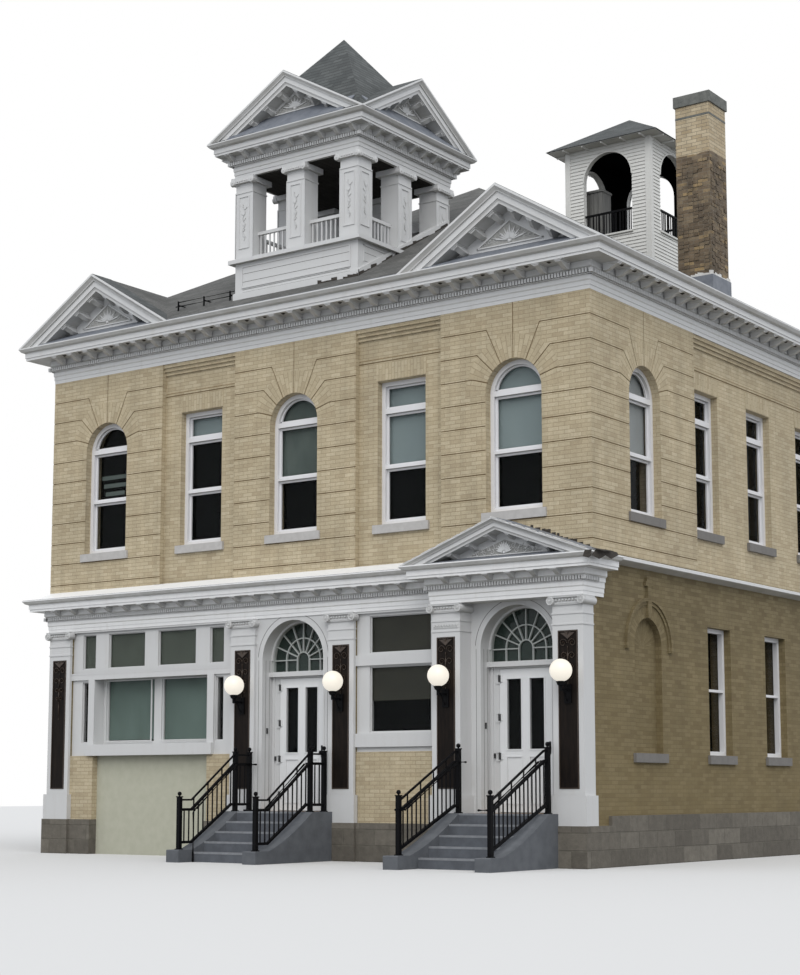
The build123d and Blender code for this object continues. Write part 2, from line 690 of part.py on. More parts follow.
def stucco_panel():
    """Rendered panel under the wide shopfront, down to the ground."""
    x0, x1 = stucco_span()
    return block(x0, x1, PANEL_BACK, WALL, 0, SHOP_SILL_FOOT)


def run(profile, length, start, end):
    """A moulding along +X whose face looks to -Y; start and end are -1 at an outer corner,
    0 where it is cut square and 1 at an inner corner."""
    reach = max(p for p, z in profile) + 1
    solid = across([(-p, z) for p, z in profile], -reach, length + reach)
    plan = [(0, 0), (start * reach, -reach), (length - end * reach, -reach), (length, 0)]
    z0 = min(z for p, z in profile) - 1
    z1 = max(z for p, z in profile) + 1
    return solid & upward(plan, z0, z1)


def cornice_profile(foot, top, out):
    """Architrave, frieze, dentil band, soffit, fascia and crown, as (outward, z) points."""
    tall = top - foot
    return [(0, foot), (20, foot), (20, foot + 0.10 * tall), (30, foot + 0.10 * tall),
            (30, foot + 0.20 * tall), (42, foot + 0.23 * tall), (42, foot + 0.37 * tall),
            (60, foot + 0.37 * tall), (60, foot + 0.47 * tall), (90, foot + 0.52 * tall),
            (90, foot + 0.66 * tall), (out - 110, foot + 0.66 * tall), (out - 110, foot + 0.73 * tall),
            (out - 95, foot + 0.73 * tall), (out - 95, foot + 0.87 * tall), (out - 40, foot + 0.90 * tall),
            (out, foot + 0.97 * tall), (out, top), (0, top)]


def lower_entablature():
    """Timber entablature over the street front, stepping forward over the portico."""
    profile = cornice_profile(CAPITAL_TOP, LOWER_TOP, LOWER_OUT)
    x_break = PILASTER_MIDS[3] - PILASTER / 2
    solid = Pos(-HALF, 0, 0) * run(profile, x_break + HALF, -1, 1)
    solid += Pos(x_break, 0, 0) * Rot(0, 0, -90) * run(profile, PORTICO_OUT, 1, -1)
    solid += Pos(x_break, -PORTICO_OUT, 0) * run(profile, HALF - x_break, -1, -1)
    solid += Pos(HALF, -PORTICO_OUT, 0) * Rot(0, 0, 90) * run(profile, PORTICO_OUT + 300, -1, 0)
    solid += Pos(-HALF, 300, 0) * Rot(0, 0, -90) * run(profile, 300, 0, -1)
    solid += block(x_break, HALF, -PORTICO_OUT, 0, CAPITAL_TOP, LOWER_TOP)
    flashing = [(0, LOWER_TOP), (-LOWER_OUT, LOWER_TOP), (0, LOWER_TOP + FLASHING_TALL)]
    solid += across(flashing, -HALF, x_break - LOWER_OUT)
    return solid


def portico_pediment():
    mid = (PILASTER_MIDS[3] - PILASTER / 2 + HALF) / 2
    half = (HALF - PILASTER_MIDS[3] + PILASTER / 2) / 2 + LOWER_OUT
    z0 = LOWER_TOP
    z1 = LOWER_TOP + PORTICO_RISE
    inner = PORTICO_RISE - PORTICO_RAKE
    reach = half * inner / PORTICO_RISE
    gable = along([(mid - half, z0), (mid + half, z0), (mid, z1)], -PORTICO_OUT - LOWER_OUT, 0)
    hollow = along([(mid - reach, z0 - 1), (mid + reach, z0 - 1), (mid, z0 + inner)],
                   -PORTICO_OUT - LOWER_OUT - 1, -PORTICO_OUT)
    shelf = across([(-PORTICO_OUT - LOWER_OUT + 20, z0), (-PORTICO_OUT, z0), (-PORTICO_OUT, z0 + 90)],
                   mid - half + 40, mid + half - 40)
    trim = along([(mid - half, z0), (mid + half, z0), (mid, z1)], -PORTICO_OUT - LOWER_OUT, 0)
    return gable - hollow + (shelf & trim)


def string_course():
    """Small moulding that carries the lower cornice line round the sides and back."""
    z = LOWER_TOP
    out = STRING_OUT
    profile = [(0, z - 50), (60, z - 35), (out - 20, z - 5), (out, z + 5), (out, z + 50), (0, z + 110)]
    right = Pos(HALF, 300, 0) * Rot(0, 0, 90) * run(profile, DEPTH - 300, 0, -1)
    left = Pos(-HALF, DEPTH, 0) * Rot(0, 0, -90) * run(profile, DEPTH - 300, -1, 0)
    back = Pos(HALF, DEPTH, 0) * Rot(0, 0, 180) * run(profile, WIDTH, -1, -1)
    return right + left + back


def main_cornice():
    profile = cornice_profile(FRIEZE_FOOT, WALL_TOP, MAIN_OUT)
    front = Pos(-HALF, 0, 0) * run(profile, WIDTH, -1, -1)
    back = rear_place(front)
    right = Pos(HALF, 0, 0) * Rot(0, 0, 90) * run(profile, DEPTH, -1, -1)
    left = Pos(-HALF, DEPTH, 0) * Rot(0, 0, -90) * run(profile, DEPTH, -1, -1)
    return [front, back], [right, left]


def modillion(out, foot, wide, tall):
    """A scroll bracket under a cornice, face at y = 0, top at foot + tall."""
    outline = [(-90, foot + tall), (-out, foot + tall), (-out, foot + tall * 0.55),
               (-out + 40, foot + tall * 0.3), (-130, foot + tall * 0.1), (-90, foot)]
    return across(outline, -wide / 2, wide / 2)


def spaced(length, step):
    """Places at about one step along a length, the same at both ends."""
    count = int(length / step)
    return [(k - (count - 1) / 2) * step for k in range(count)]


def modillions():
    found = []
    top = FRIEZE_FOOT + 0.66 * (WALL_TOP - FRIEZE_FOOT)
    piece = modillion(MAIN_OUT - 130, top - MODILLION_TALL, MODILLION, MODILLION_TALL)
    for x in spaced(WIDTH, MODILLION_STEP):
        found.append(Pos(x, 0, 0) * piece)
        found.append(rear_place(Pos(x, 0, 0) * piece))
    for y in spaced(DEPTH, MODILLION_STEP):
        for sign in (-1, 1):
            found.append(side_place(Pos(y + DEPTH / 2, 0, 0) * piece, sign))
    tall = MODILLION_TALL * 0.8
    low_top = CAPITAL_TOP + 0.66 * (LOWER_TOP - CAPITAL_TOP)
    low = modillion(LOWER_OUT - 120, low_top - tall, MODILLION * 0.86, tall)
    flat = WIDTH - PORTICO - LOWER_OUT
    for x in spaced(flat, LOW_MODILLION_STEP):
        found.append(Pos(x - HALF + flat / 2, 0, 0) * low)
    for x in spaced(PORTICO, LOW_MODILLION_STEP * 0.93):
        found.append(Pos(x + HALF - PORTICO / 2, -PORTICO_OUT, 0) * low)
    return found


def hip_solid(drop):
    """Hip roof as a solid, where two crossed gables meet; drop lowers the slopes for the inside face."""
    back = MAIN_OUT - ROOF_IN - drop / PITCH
    x = HALF + back
    y = DEPTH / 2 + back
    z0 = WALL_TOP
    mid = DEPTH / 2
    long = along([(-x, z0), (x, z0), (0, z0 + x * PITCH)], mid - y, mid + y)
    wide = across([(mid - y, z0), (mid + y, z0), (mid, z0 + y * PITCH)], -x, x)
    return long & wide


def gable_mid(sign):
    return sign * (HALF + MAIN_OUT - PEDIMENT_HALF)


def gable_solid(sign, drop, y0, y1):
    """Roof behind one pediment, as a solid prism along Y."""
    slope = PEDIMENT_RISE / PEDIMENT_HALF
    mid = gable_mid(sign)
    half = PEDIMENT_HALF - drop / slope
    return along([(mid - half, WALL_TOP), (mid + half, WALL_TOP), (mid, WALL_TOP + half * slope)], y0, y1)


def gable_end():
    """Where the ridge of a gable roof has run into the main slope."""
    return PEDIMENT_RISE / PITCH


def main_roof():
    shell = hip_solid(0) - hip_solid(ROOF_THICK)
    for sign in (-1, 1):
        shell -= gable_solid(sign, 0, -MAIN_OUT - 1, 0)
    h = CHIMNEY / 2
    shell -= block(CHIMNEY_X - h, CHIMNEY_X + h, CHIMNEY_Y - h, CHIMNEY_Y + h, WALL_TOP - 1, CUPOLA_APEX)
    return shell


def gable_roofs():
    solids = []
    for sign in (-1, 1):
        solids.append(gable_solid(sign, 0, 0, gable_end()) - hip_solid(0))
    return solids


def above_roof(shapes):
    """What stands on the roof is cut to its slopes."""
    solid = hip_solid(0)
    return [shape - solid for shape in shapes]


def pediments():
    """Raking cornices and tympana over the corner pavilions."""
    solids = []
    for sign in (-1, 1):
        mid = gable_mid(sign)
        z0 = WALL_TOP
        z1 = z0 + PEDIMENT_RISE
        inner = PEDIMENT_RISE - RAKE_TALL
        reach = PEDIMENT_HALF * inner / PEDIMENT_RISE
        tri = [(mid - PEDIMENT_HALF, z0), (mid + PEDIMENT_HALF, z0), (mid, z1)]
        gable = along(tri, -MAIN_OUT, 0)
        gable -= along([(mid - reach, z0 - 1), (mid + reach, z0 - 1), (mid, z0 + inner)], -MAIN_OUT - 1, -60)
        shelf = across([(-MAIN_OUT + 30, z0), (-60, z0), (-60, z0 + 240)], mid - reach, mid + reach)
        solids.append(gable + (shelf & along(tri, -MAIN_OUT, 0)))
    return solids


def square_ring(size, wall, z0, z1):
    a = size / 2
    return block(-a, a, -a, a, z0, z1) - block(-a + wall, a - wall, -a + wall, a - wall, z0 - 1, z1 + 1)


def cupola_place(shape):
    return Pos(0, CUPOLA_MID_Y, 0) * shape


def cupola_base():
    ring = square_ring(CUPOLA, CUPOLA_WALL, WALL_TOP, CUPOLA_BASE_TOP)
    ring += square_ring(CUPOLA + 2 * CUPOLA_LIP, CUPOLA_PIER + CUPOLA_LIP,
                        CUPOLA_BASE_TOP - CUPOLA_LIP_TALL, CUPOLA_BASE_TOP)
    return cupola_place(ring)


def cupola_skirts():
    """Boards that follow the roof between the rear piers."""
    a = CUPOLA / 2
    y0 = CUPOLA_MID_Y + CUPOLA_PIER / 2
    y1 = CUPOLA_MID_Y + a - CUPOLA_PIER
    slope = [(y, WALL_TOP + (y + MAIN_OUT - ROOF_IN) * PITCH) for y in (y0, y1)]
    board = across(slope + [(y, z + SKIRT) for y, z in reversed(slope)], -a, -a + SKIRT)
    z = WALL_TOP + (CUPOLA_MID_Y + a + MAIN_OUT - ROOF_IN) * PITCH
    back = block(-a + CUPOLA_PIER, a - CUPOLA_PIER, CUPOLA_MID_Y + a - SKIRT, CUPOLA_MID_Y + a,
                 z - SKIRT, z + SKIRT)
    back -= block(-CUPOLA_PIER / 2, CUPOLA_PIER / 2, CUPOLA_MID_Y, CUPOLA_MID_Y + a + 1, z - 200, z + 200)
    return [board, mirror(board, Plane.YZ), back]


def cupola_pier(x, y):
    h = CUPOLA_PIER / 2
    pier = block(x - h, x + h, y - h, y + h, CUPOLA_BASE_TOP, CUPOLA_PIER_TOP)
    z = CUPOLA_PIER_TOP
    pier += block(x - h - 12, x + h + 12, y - h - 12, y + h + 12, z - CUPOLA_NECK, z - CUPOLA_NECK + NECK)
    h += CUPOLA_CAP
    return pier + block(x - h, x + h, y - h, y + h, z - CUPOLA_CAP_TALL, z)


def cupola_spots():
    a = CUPOLA / 2 - CUPOLA_PIER / 2
    return [(x, y) for x in (-a, 0, a) for y in (-a, 0, a) if (x, y) != (0, 0)]


def cupola_railings():
    """Balustrades of the front and of the front half of each side."""
    a = CUPOLA / 2 - CUPOLA_PIER / 2
    lo = CUPOLA_PIER / 2
    hi = a - CUPOLA_PIER / 2
    panels = []
    for turn, sign in ((0, -1), (0, 1), (1, -1), (3, 1)):
        x0, x1 = sorted((sign * lo, sign * hi))
        foot = CUPOLA_BASE_TOP + 40
        top = CUPOLA_BASE_TOP + CUPOLA_RAIL
        rail = block(x0, x1, -a - 30, -a + 30, top - 60, top)
        rail += block(x0, x1, -a - 25, -a + 25, foot, foot + 45)
        for k in range(8):
            x = x0 + (k + 0.5) * (x1 - x0) / 8
            rail += block(x - 12, x + 12, -a - 12, -a + 12, foot + 45, top - 60)
        panels.append(cupola_place(Rot(0, 0, 90 * turn) * rail))
    return panels


def cupola_entablature():
    profile = cornice_profile(CUPOLA_PIER_TOP, CUPOLA_TOP, CUPOLA_OUT)
    side = Pos(-CUPOLA / 2, -CUPOLA / 2, 0) * run(profile, CUPOLA, -1, -1)
    a = CUPOLA / 2
    ring = square_ring(CUPOLA, CUPOLA_PIER, CUPOLA_PIER_TOP, CUPOLA_TOP)
    ring += block(-a, a, -a, a, CUPOLA_PIER_TOP + 60, CUPOLA_PIER_TOP + 120)
    for turn in range(4):
        ring += Rot(0, 0, 90 * turn) * side
    return cupola_place(ring)


def cupola_pediments():
    """A small pediment on each side of the cupola, with its roof running back."""
    half = CUPOLA / 2 + CUPOLA_OUT
    z0 = CUPOLA_TOP
    z1 = z0 + CUPOLA_RISE
    inner = CUPOLA_RISE - CUPOLA_RAKE
    reach = half * inner / CUPOLA_RISE
    y0 = -half
    face = -CUPOLA / 2 - 20
    tri = along([(-half, z0), (half, z0), (0, z1)], y0, -half / 3)
    hollow = along([(-reach, z0 - 1), (reach, z0 - 1), (0, z0 + inner)], y0 - 1, face)
    wedge = upward([(0, 0), (-half, -half), (half, -half)], z0, z1 + 1)
    one = (tri - hollow) & wedge
    one -= pyramid(CUPOLA_ROOF_HALF, CUPOLA_TOP, CUPOLA_APEX)
    return [cupola_place(Rot(0, 0, 90 * turn) * one) for turn in range(4)]


def pyramid(half, z0, apex):
    pts = [(-half, -half, z0), (half, -half, z0), (half, half, z0), (-half, half, z0)]
    top = (0, 0, apex)
    rings = [[pts[3], pts[2], pts[1], pts[0]]] + [[pts[k], pts[(k + 1) % 4], top] for k in range(4)]
    faces = [Face(Wire.make_polygon([Vector(*p) for p in ring], close=True)) for ring in rings]
    return Solid(Shell(faces))


def cupola_roof():
    outer = pyramid(CUPOLA_ROOF_HALF, CUPOLA_TOP, CUPOLA_APEX)
    inner = pyramid(CUPOLA_ROOF_HALF - 120, CUPOLA_TOP - 1, CUPOLA_APEX - 200)
    return cupola_place(outer - inner)


def turret_place(shape):
    return Pos(TURRET_X, TURRET_Y, 0) * shape


def turret_walls():
    walls = square_ring(TURRET, TURRET_WALL, WALL_TOP, TURRET_EAVE)
    reach = TURRET / 2 + 1
    hole = arched(0, TURRET_ARCH / 2, TURRET_OPEN_FOOT, TURRET_SPRING, -reach, reach)
    walls -= hole
    walls -= Rot(0, 0, 90) * hole
    return turret_place(walls)


def turret_roof():
    half = TURRET / 2 + TURRET_OVER
    eave = TURRET_EAVE - TURRET_EAVE_TALL
    outer = pyramid(half, eave, TURRET_APEX)
    a = TURRET / 2
    outer -= block(-a, a, -a, a, eave - 1, TURRET_EAVE)
    inner = pyramid(a - TURRET_WALL, TURRET_EAVE - 1, TURRET_APEX - 200)
    return turret_place(outer - inner)


def turret_railings():
    a = TURRET / 2 - TURRET_WALL / 2
    h = TURRET_ARCH / 2
    panels = []
    for turn in range(4):
        top = TURRET_OPEN_FOOT + TURRET_RAIL
        rail = block(-h, h, -a - 20, -a + 20, top - 40, top)
        rail += block(-h, h, -a - 20, -a + 20, TURRET_OPEN_FOOT, TURRET_OPEN_FOOT + 40)
        for k in range(9):
            x = -h + (k + 0.5) * 2 * h / 9
            rail += block(x - 9, x + 9, -a - 9, -a + 9, TURRET_OPEN_FOOT + 40, top - 40)
        panels.append(turret_place(Rot(0, 0, 90 * turn) * rail))
    return panels


def lookout_floors():
    c = CUPOLA / 2 - CUPOLA_PIER
    t = TURRET / 2 - TURRET_WALL
    low = cupola_place(block(-c, c, -c, c, CUPOLA_BASE_TOP - 120, CUPOLA_BASE_TOP - 20))
    high = turret_place(block(-t, t, -t, t, TURRET_FLOOR - 100, TURRET_FLOOR))
    return [low, high]


def chimney():
    h = CHIMNEY / 2
    shaft = block(-h, h, -h, h, WALL_TOP, CHIMNEY_TOP)
    f = h - FLUE_WALL
    shaft -= block(-f, f, -f, f, WALL_TOP + 200, CHIMNEY_TOP + 1)
    return Pos(CHIMNEY_X, CHIMNEY_Y, 0) * shaft


def chimney_cap():
    h = CHIMNEY / 2 + CHIMNEY_CAP_OUT
    f = CHIMNEY / 2 - FLUE_WALL
    cap = block(-h, h, -h, h, CHIMNEY_TOP, CHIMNEY_TOP + CHIMNEY_CAP)
    cap -= block(-f, f, -f, f, CHIMNEY_TOP - 1, CHIMNEY_TOP + CHIMNEY_CAP + 1)
    return Pos(CHIMNEY_X, CHIMNEY_Y, 0) * cap


def stair_flight(mid, y_back):
    """Landing and four steps, five risers in all."""
    steps = [(y_back, 0), (y_back, FLOOR), (-LANDING_OUT, FLOOR)]
    for k in range(1, RISERS):
        y = -LANDING_OUT - (k - 1) * TREAD
        steps += [(y, FLOOR - k * RISE), (y - TREAD, FLOOR - k * RISE)]
    steps += [(-LANDING_OUT - (RISERS - 1) * TREAD, 0)]
    return across(steps, mid - STAIR_CLEAR / 2, mid + STAIR_CLEAR / 2)


def stair_cheeks(mid, y_back):
    """Two walls beside the flight that sweep down to the pavement."""
    y1 = -CHEEK_OUT + CHEEK_FLAT
    edge = Polyline((0, y1, CHEEK_NOSE), (0, -CHEEK_OUT, CHEEK_NOSE), (0, -CHEEK_OUT, 0), (0, y_back, 0),
                    (0, y_back, FLOOR), (0, -LANDING_OUT, FLOOR))
    dip = (FLOOR - CHEEK_NOSE) * 0.1
    bend = (0, (y1 - LANDING_OUT) / 2 - dip * 0.2, (FLOOR + CHEEK_NOSE) / 2 - dip)
    sweep_line = ThreePointArc((0, -LANDING_OUT, FLOOR), bend, (0, y1, CHEEK_NOSE))
    cheek = extrude(make_face([edge, sweep_line]), amount=CHEEK, dir=(1, 0, 0))
    half = STAIR_CLEAR / 2
    return [Pos(mid - half - CHEEK, 0, 0) * cheek, Pos(mid + half, 0, 0) * cheek]


def bar(a, b, size):
    """A square bar between two points of one upright plane along Y."""
    (y0, z0), (y1, z1) = a, b
    drop = size / 2
    return across([(y0, z0 - drop), (y1, z1 - drop), (y1, z1 + drop), (y0, z0 + drop)], -size / 2, size / 2)


def railing(x, y_back):
    """Iron railing on one cheek wall: three posts, three rails and balusters."""
    y_top = -LANDING_OUT + 60
    y_foot = -CHEEK_OUT + 110
    y_bend = y_foot + 260
    z_top = FLOOR + RAIL_TALL
    z_foot = CHEEK_NOSE + RAIL_TALL - FRONT_POST_DROP
    iron = None
    for y, z, top in ((y_back, FLOOR, z_top), (y_top, FLOOR, z_top), (y_foot, CHEEK_NOSE, z_foot)):
        post = block(-POST / 2, POST / 2, y - POST / 2, y + POST / 2, z, top + 40)
        post += Pos(0, y, top + 75) * Sphere(POST / 2 + 3)
        iron = post if iron is None else iron + post
    for lift in (-60, -170):
        iron += bar((y_back, z_top + lift), (y_top, z_top + lift), RAIL)
        iron += bar((y_top, z_top + lift), (y_bend, z_foot + lift), RAIL)
        iron += bar((y_bend, z_foot + lift), (y_foot, z_foot + lift), RAIL)
    low = 110
    iron += bar((y_back, FLOOR + low), (y_top, FLOOR + low), 30)
    iron += bar((y_top, FLOOR + low), (y_bend, CHEEK_NOSE + low), 30)
    iron += bar((y_bend, CHEEK_NOSE + low), (y_foot, CHEEK_NOSE + low), 30)
    for k in range(1, 12):
        t = k / 12
        y = y_top + (y_bend - y_top) * t
        z = (FLOOR - CHEEK_NOSE) * (1 - t) + CHEEK_NOSE
        b = BALUSTER / 2
        iron += block(-b, b, y - b, y + b, z + low, z + RAIL_TALL - FRONT_POST_DROP * t - 170)
    return Pos(x, 0, 0) * iron


def railings():
    found = []
    for mid, y_back in ((DOOR_MIDS[0], -236), (DOOR_MIDS[1], -480)):
        for sign in (-1, 1):
            found.append(railing(mid + sign * (STAIR_CLEAR / 2 + CHEEK / 2), y_back))
    return found


def lamp(mid, out):
    """Arm and cup of a globe lamp on a pilaster panel, and its glass globe."""
    y = -out - GLOBE_OUT
    foot = GLOBE_Z - GLOBE_R
    arm = Pos(mid, y, foot - 25) * Cylinder(60, 50)
    arm += block(mid - 20, mid + 20, y, -out, foot - 140, foot - 100)
    arm += block(mid - 20, mid + 20, y - 20, y + 20, foot - 140, foot - 30)
    arm += block(mid - 60, mid + 60, -out - 25, -out, foot - 330, foot - 30)
    globe = Pos(mid, y, GLOBE_Z) * Sphere(GLOBE_R)
    globe -= block(mid - GLOBE_R, mid + GLOBE_R, y - GLOBE_R, y + GLOBE_R, foot - 1, foot + 10)
    arm += Pos(mid, y, foot + 5) * Cylinder(50, 10)
    return arm, globe


def main():
    os.makedirs("parts", exist_ok=True)
    save("foundation", foundation())
    save("ground_floor", ground_floor())
    save("upper_floor", upper_floor())
    save("front_frame", front_frame())
    side = side_lower_wall()
    save("side_lower_walls", [side_place(side, 1), side_place(side, -1)])
    save("rear_wall", rear_wall())
    save("pavilion_walls", pavilion_walls())
    save("recess_walls", recess_walls())
    front, others = all_windows()
    others += lower_windows()
    save("front_window_frames", [s[0] for s in front])
    save("front_window_glass", [s[1] for s in front])
    save("side_window_frames", [s[0] for s in others])
    save("side_window_glass", [s[1] for s in others])
    niche = [side_place(niche_sill(), sign) for sign in (-1, 1)]
    save("window_sills", [s[2] for s in front] + [s[2] for s in others] + niche)
    spots = list(zip(PILASTER_MIDS, PILASTER_OUT))
    save("pilasters", [pilaster(*s) for s in spots])
    save("pilaster_capitals", [capital(*s) for s in spots])
    save("pilaster_panels", [panel(*s) for s in spots])
    save("door_jambs", door_jambs())
    save("door_arches", door_arches())
    save("door_frames", [door_frame(m) for m in DOOR_MIDS])
    save("fanlight_glass", [fanlight_glass(m) for m in DOOR_MIDS])
    save("fanlight_bars", [fanlight_bars(m) for m in DOOR_MIDS])
    for name, mid in zip(("middle", "portico"), DOOR_MIDS):
        body, panes = door_leaf(mid)
        save("door_" + name, body)
        save("door_" + name + "_glass", panes)
    save("shopfront_frames", [shop_frame_a(), shop_frame_c()])
    save("shopfront_glass", shop_glass())
    save("shopfront_walls", shop_walls())
    save("shopfront_panel", stucco_panel())
    save("lower_entablature", lower_entablature())
    save("portico_pediment", portico_pediment())
    save("string_course", string_course())
    ends, sides = main_cornice()
    save("main_cornice_ends", ends)
    save("main_cornice_sides", sides)
    save("modillions", modillions())
    save("main_roof", main_roof())
    save("gable_roofs", gable_roofs())
    save("pediments", pediments())
    save("cupola_base", above_roof([cupola_base()] + cupola_skirts()))
    save("cupola_piers", above_roof([cupola_place(cupola_pier(x, y)) for x, y in cupola_spots()]))
    save("cupola_railings", above_roof(cupola_railings()))
    save("cupola_entablature", cupola_entablature())
    save("cupola_pediments", cupola_pediments())
    save("cupola_roof", cupola_roof())
    save("turret_walls", above_roof([turret_walls()]))
    save("turret_roof", turret_roof())
    save("turret_railings", above_roof(turret_railings()))
    save("lookout_floors", above_roof(lookout_floors()))
    save("chimney", chimney())
    save("chimney_cap", chimney_cap())
    porch = -PORTICO_OUT - PLINTH_OUT
    save("entrance_stairs", [stair_flight(DOOR_MIDS[0], -PLINTH_OUT), stair_flight(DOOR_MIDS[1], porch)])
    save("stair_cheeks", stair_cheeks(DOOR_MIDS[0], -PILASTER_OUT[1] - PLINTH_OUT)
         + stair_cheeks(DOOR_MIDS[1], porch))
    save("stair_railings", railings())
    lamps = [lamp(*s) for s in spots[1:]]
    save("lamp_brackets", [a for a, g in lamps])
    save("lamp_globes", [g for a, g in lamps])


main()
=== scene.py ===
import math
import random

import bmesh
import bpy
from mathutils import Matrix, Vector


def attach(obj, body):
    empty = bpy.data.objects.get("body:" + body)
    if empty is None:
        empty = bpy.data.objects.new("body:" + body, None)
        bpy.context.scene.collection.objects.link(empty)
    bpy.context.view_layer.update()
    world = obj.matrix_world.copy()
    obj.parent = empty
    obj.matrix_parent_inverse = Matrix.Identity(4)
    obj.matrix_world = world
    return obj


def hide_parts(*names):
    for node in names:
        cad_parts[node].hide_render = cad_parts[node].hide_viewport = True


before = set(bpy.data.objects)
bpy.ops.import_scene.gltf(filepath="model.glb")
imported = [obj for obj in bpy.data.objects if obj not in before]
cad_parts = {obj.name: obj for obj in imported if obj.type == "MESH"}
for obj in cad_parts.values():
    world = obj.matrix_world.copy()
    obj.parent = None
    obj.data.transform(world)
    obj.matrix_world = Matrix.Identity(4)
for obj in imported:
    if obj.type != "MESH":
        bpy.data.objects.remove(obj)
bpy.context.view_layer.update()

rng = random.Random(7)

# Sizes and levels of the solids, in metres
SHIFT = -5.610  # from the street front's frame to the part's
HALF, DEPTH = 6.115, 13.0
FACING_TOP, BAND = 9.243, 0.4064
EAVES, OVERHANG, PITCH = 9.930, 0.53, 0.579
ROOF_Z = EAVES + OVERHANG * PITCH  # the main roof above the wall's face
WINDOW_HALF, WINDOW_FOOT, WINDOW_SPRING = 0.545, 5.735, 7.750
NICHE_SPRING = 3.563
SIDE_ARCHES, SIDE_FLATS = (1.8, 11.2), (4.275, 6.5, 8.725)
FRONT_ARCHES, FRONT_FLATS = (-4.662, 0.0, 4.662), (-2.305, 2.305)
PAVILION, MIDDLE, SIDE_BAY = 3.210, 1.400, (3.65, 9.35)
DOOR_MIDS, DOOR_SPRING = (0.015, 4.675), 3.505
LOW_EAVES = 4.880
PORCH_WIDE, PORCH_OUT = 2.88, -0.33
PEDIMENT = (2.0, EAVES, 1.225)  # half width, foot and rise of a pediment
PEDIMENT_MIDS = (-4.655, 4.655)
PORCH = (1.840, LOW_EAVES, 0.670)
LOOKOUT = (1.830, 13.190, 1.050)
CUPOLA_HALF = 1.430
TURRET_X, TURRET_Y = 2.035, 9.000
STACK_X, STACK_Y, STACK_HALF = 5.435, 5.530, 0.350


# Places. Every side is drawn as a front: u to the right, v into the wall, z up
def front(u, v, z):
    return (u, v + SHIFT, z)


def right(u, v, z):
    return (HALF - v, u + SHIFT, z)


def left(u, v, z):
    return (-HALF + v, DEPTH - u + SHIFT, z)


def rear(u, v, z):
    return (-u, DEPTH - v + SHIFT, z)


SIDES = {"front": front, "right": right, "left": left, "rear": rear}


def turned(place, u0, v0):
    """A side of its own for something that stands away from the walls."""
    return lambda u, v, z: place(u + u0, v + v0, z)


def around(cx, cy, half):
    """The four sides of a square that stands on the roof, each drawn as a front."""
    return {"front": lambda u, v, z: (cx + u, cy - half + v + SHIFT, z),
            "right": lambda u, v, z: (cx + half - v, cy + u + SHIFT, z),
            "rear": lambda u, v, z: (cx - u, cy + half - v + SHIFT, z),
            "left": lambda u, v, z: (cx - half + v, cy - u + SHIFT, z)}


CUPOLA = around(0.0, CUPOLA_HALF, CUPOLA_HALF)
TURRET = around(TURRET_X, TURRET_Y, 1.005)
STACK = around(STACK_X, STACK_Y, STACK_HALF)


def slanted(place, mid, half, z0, rise, side, drop):
    """One slope of a gable: s runs up it, v into the wall, h stands off its underside."""
    slope = math.hypot(half, rise)
    c, s = half / slope, rise / slope

    def put(along, v, h):
        w = drop - h
        return place(mid + side * (-half + along * c + w * s), v, z0 + along * s - w * c)
    return put


def spaced(length, step):
    count = int(length / step)
    return [(k - (count - 1) / 2) * step for k in range(count)]


def pair(mid, a, b):
    """The two spans from a to b, counted from mid to either side."""
    return [(mid - b, mid - a), (mid + a, mid + b)]


def circle(n):
    return [(math.cos(2 * math.pi * k / n), math.sin(2 * math.pi * k / n)) for k in range(n)]


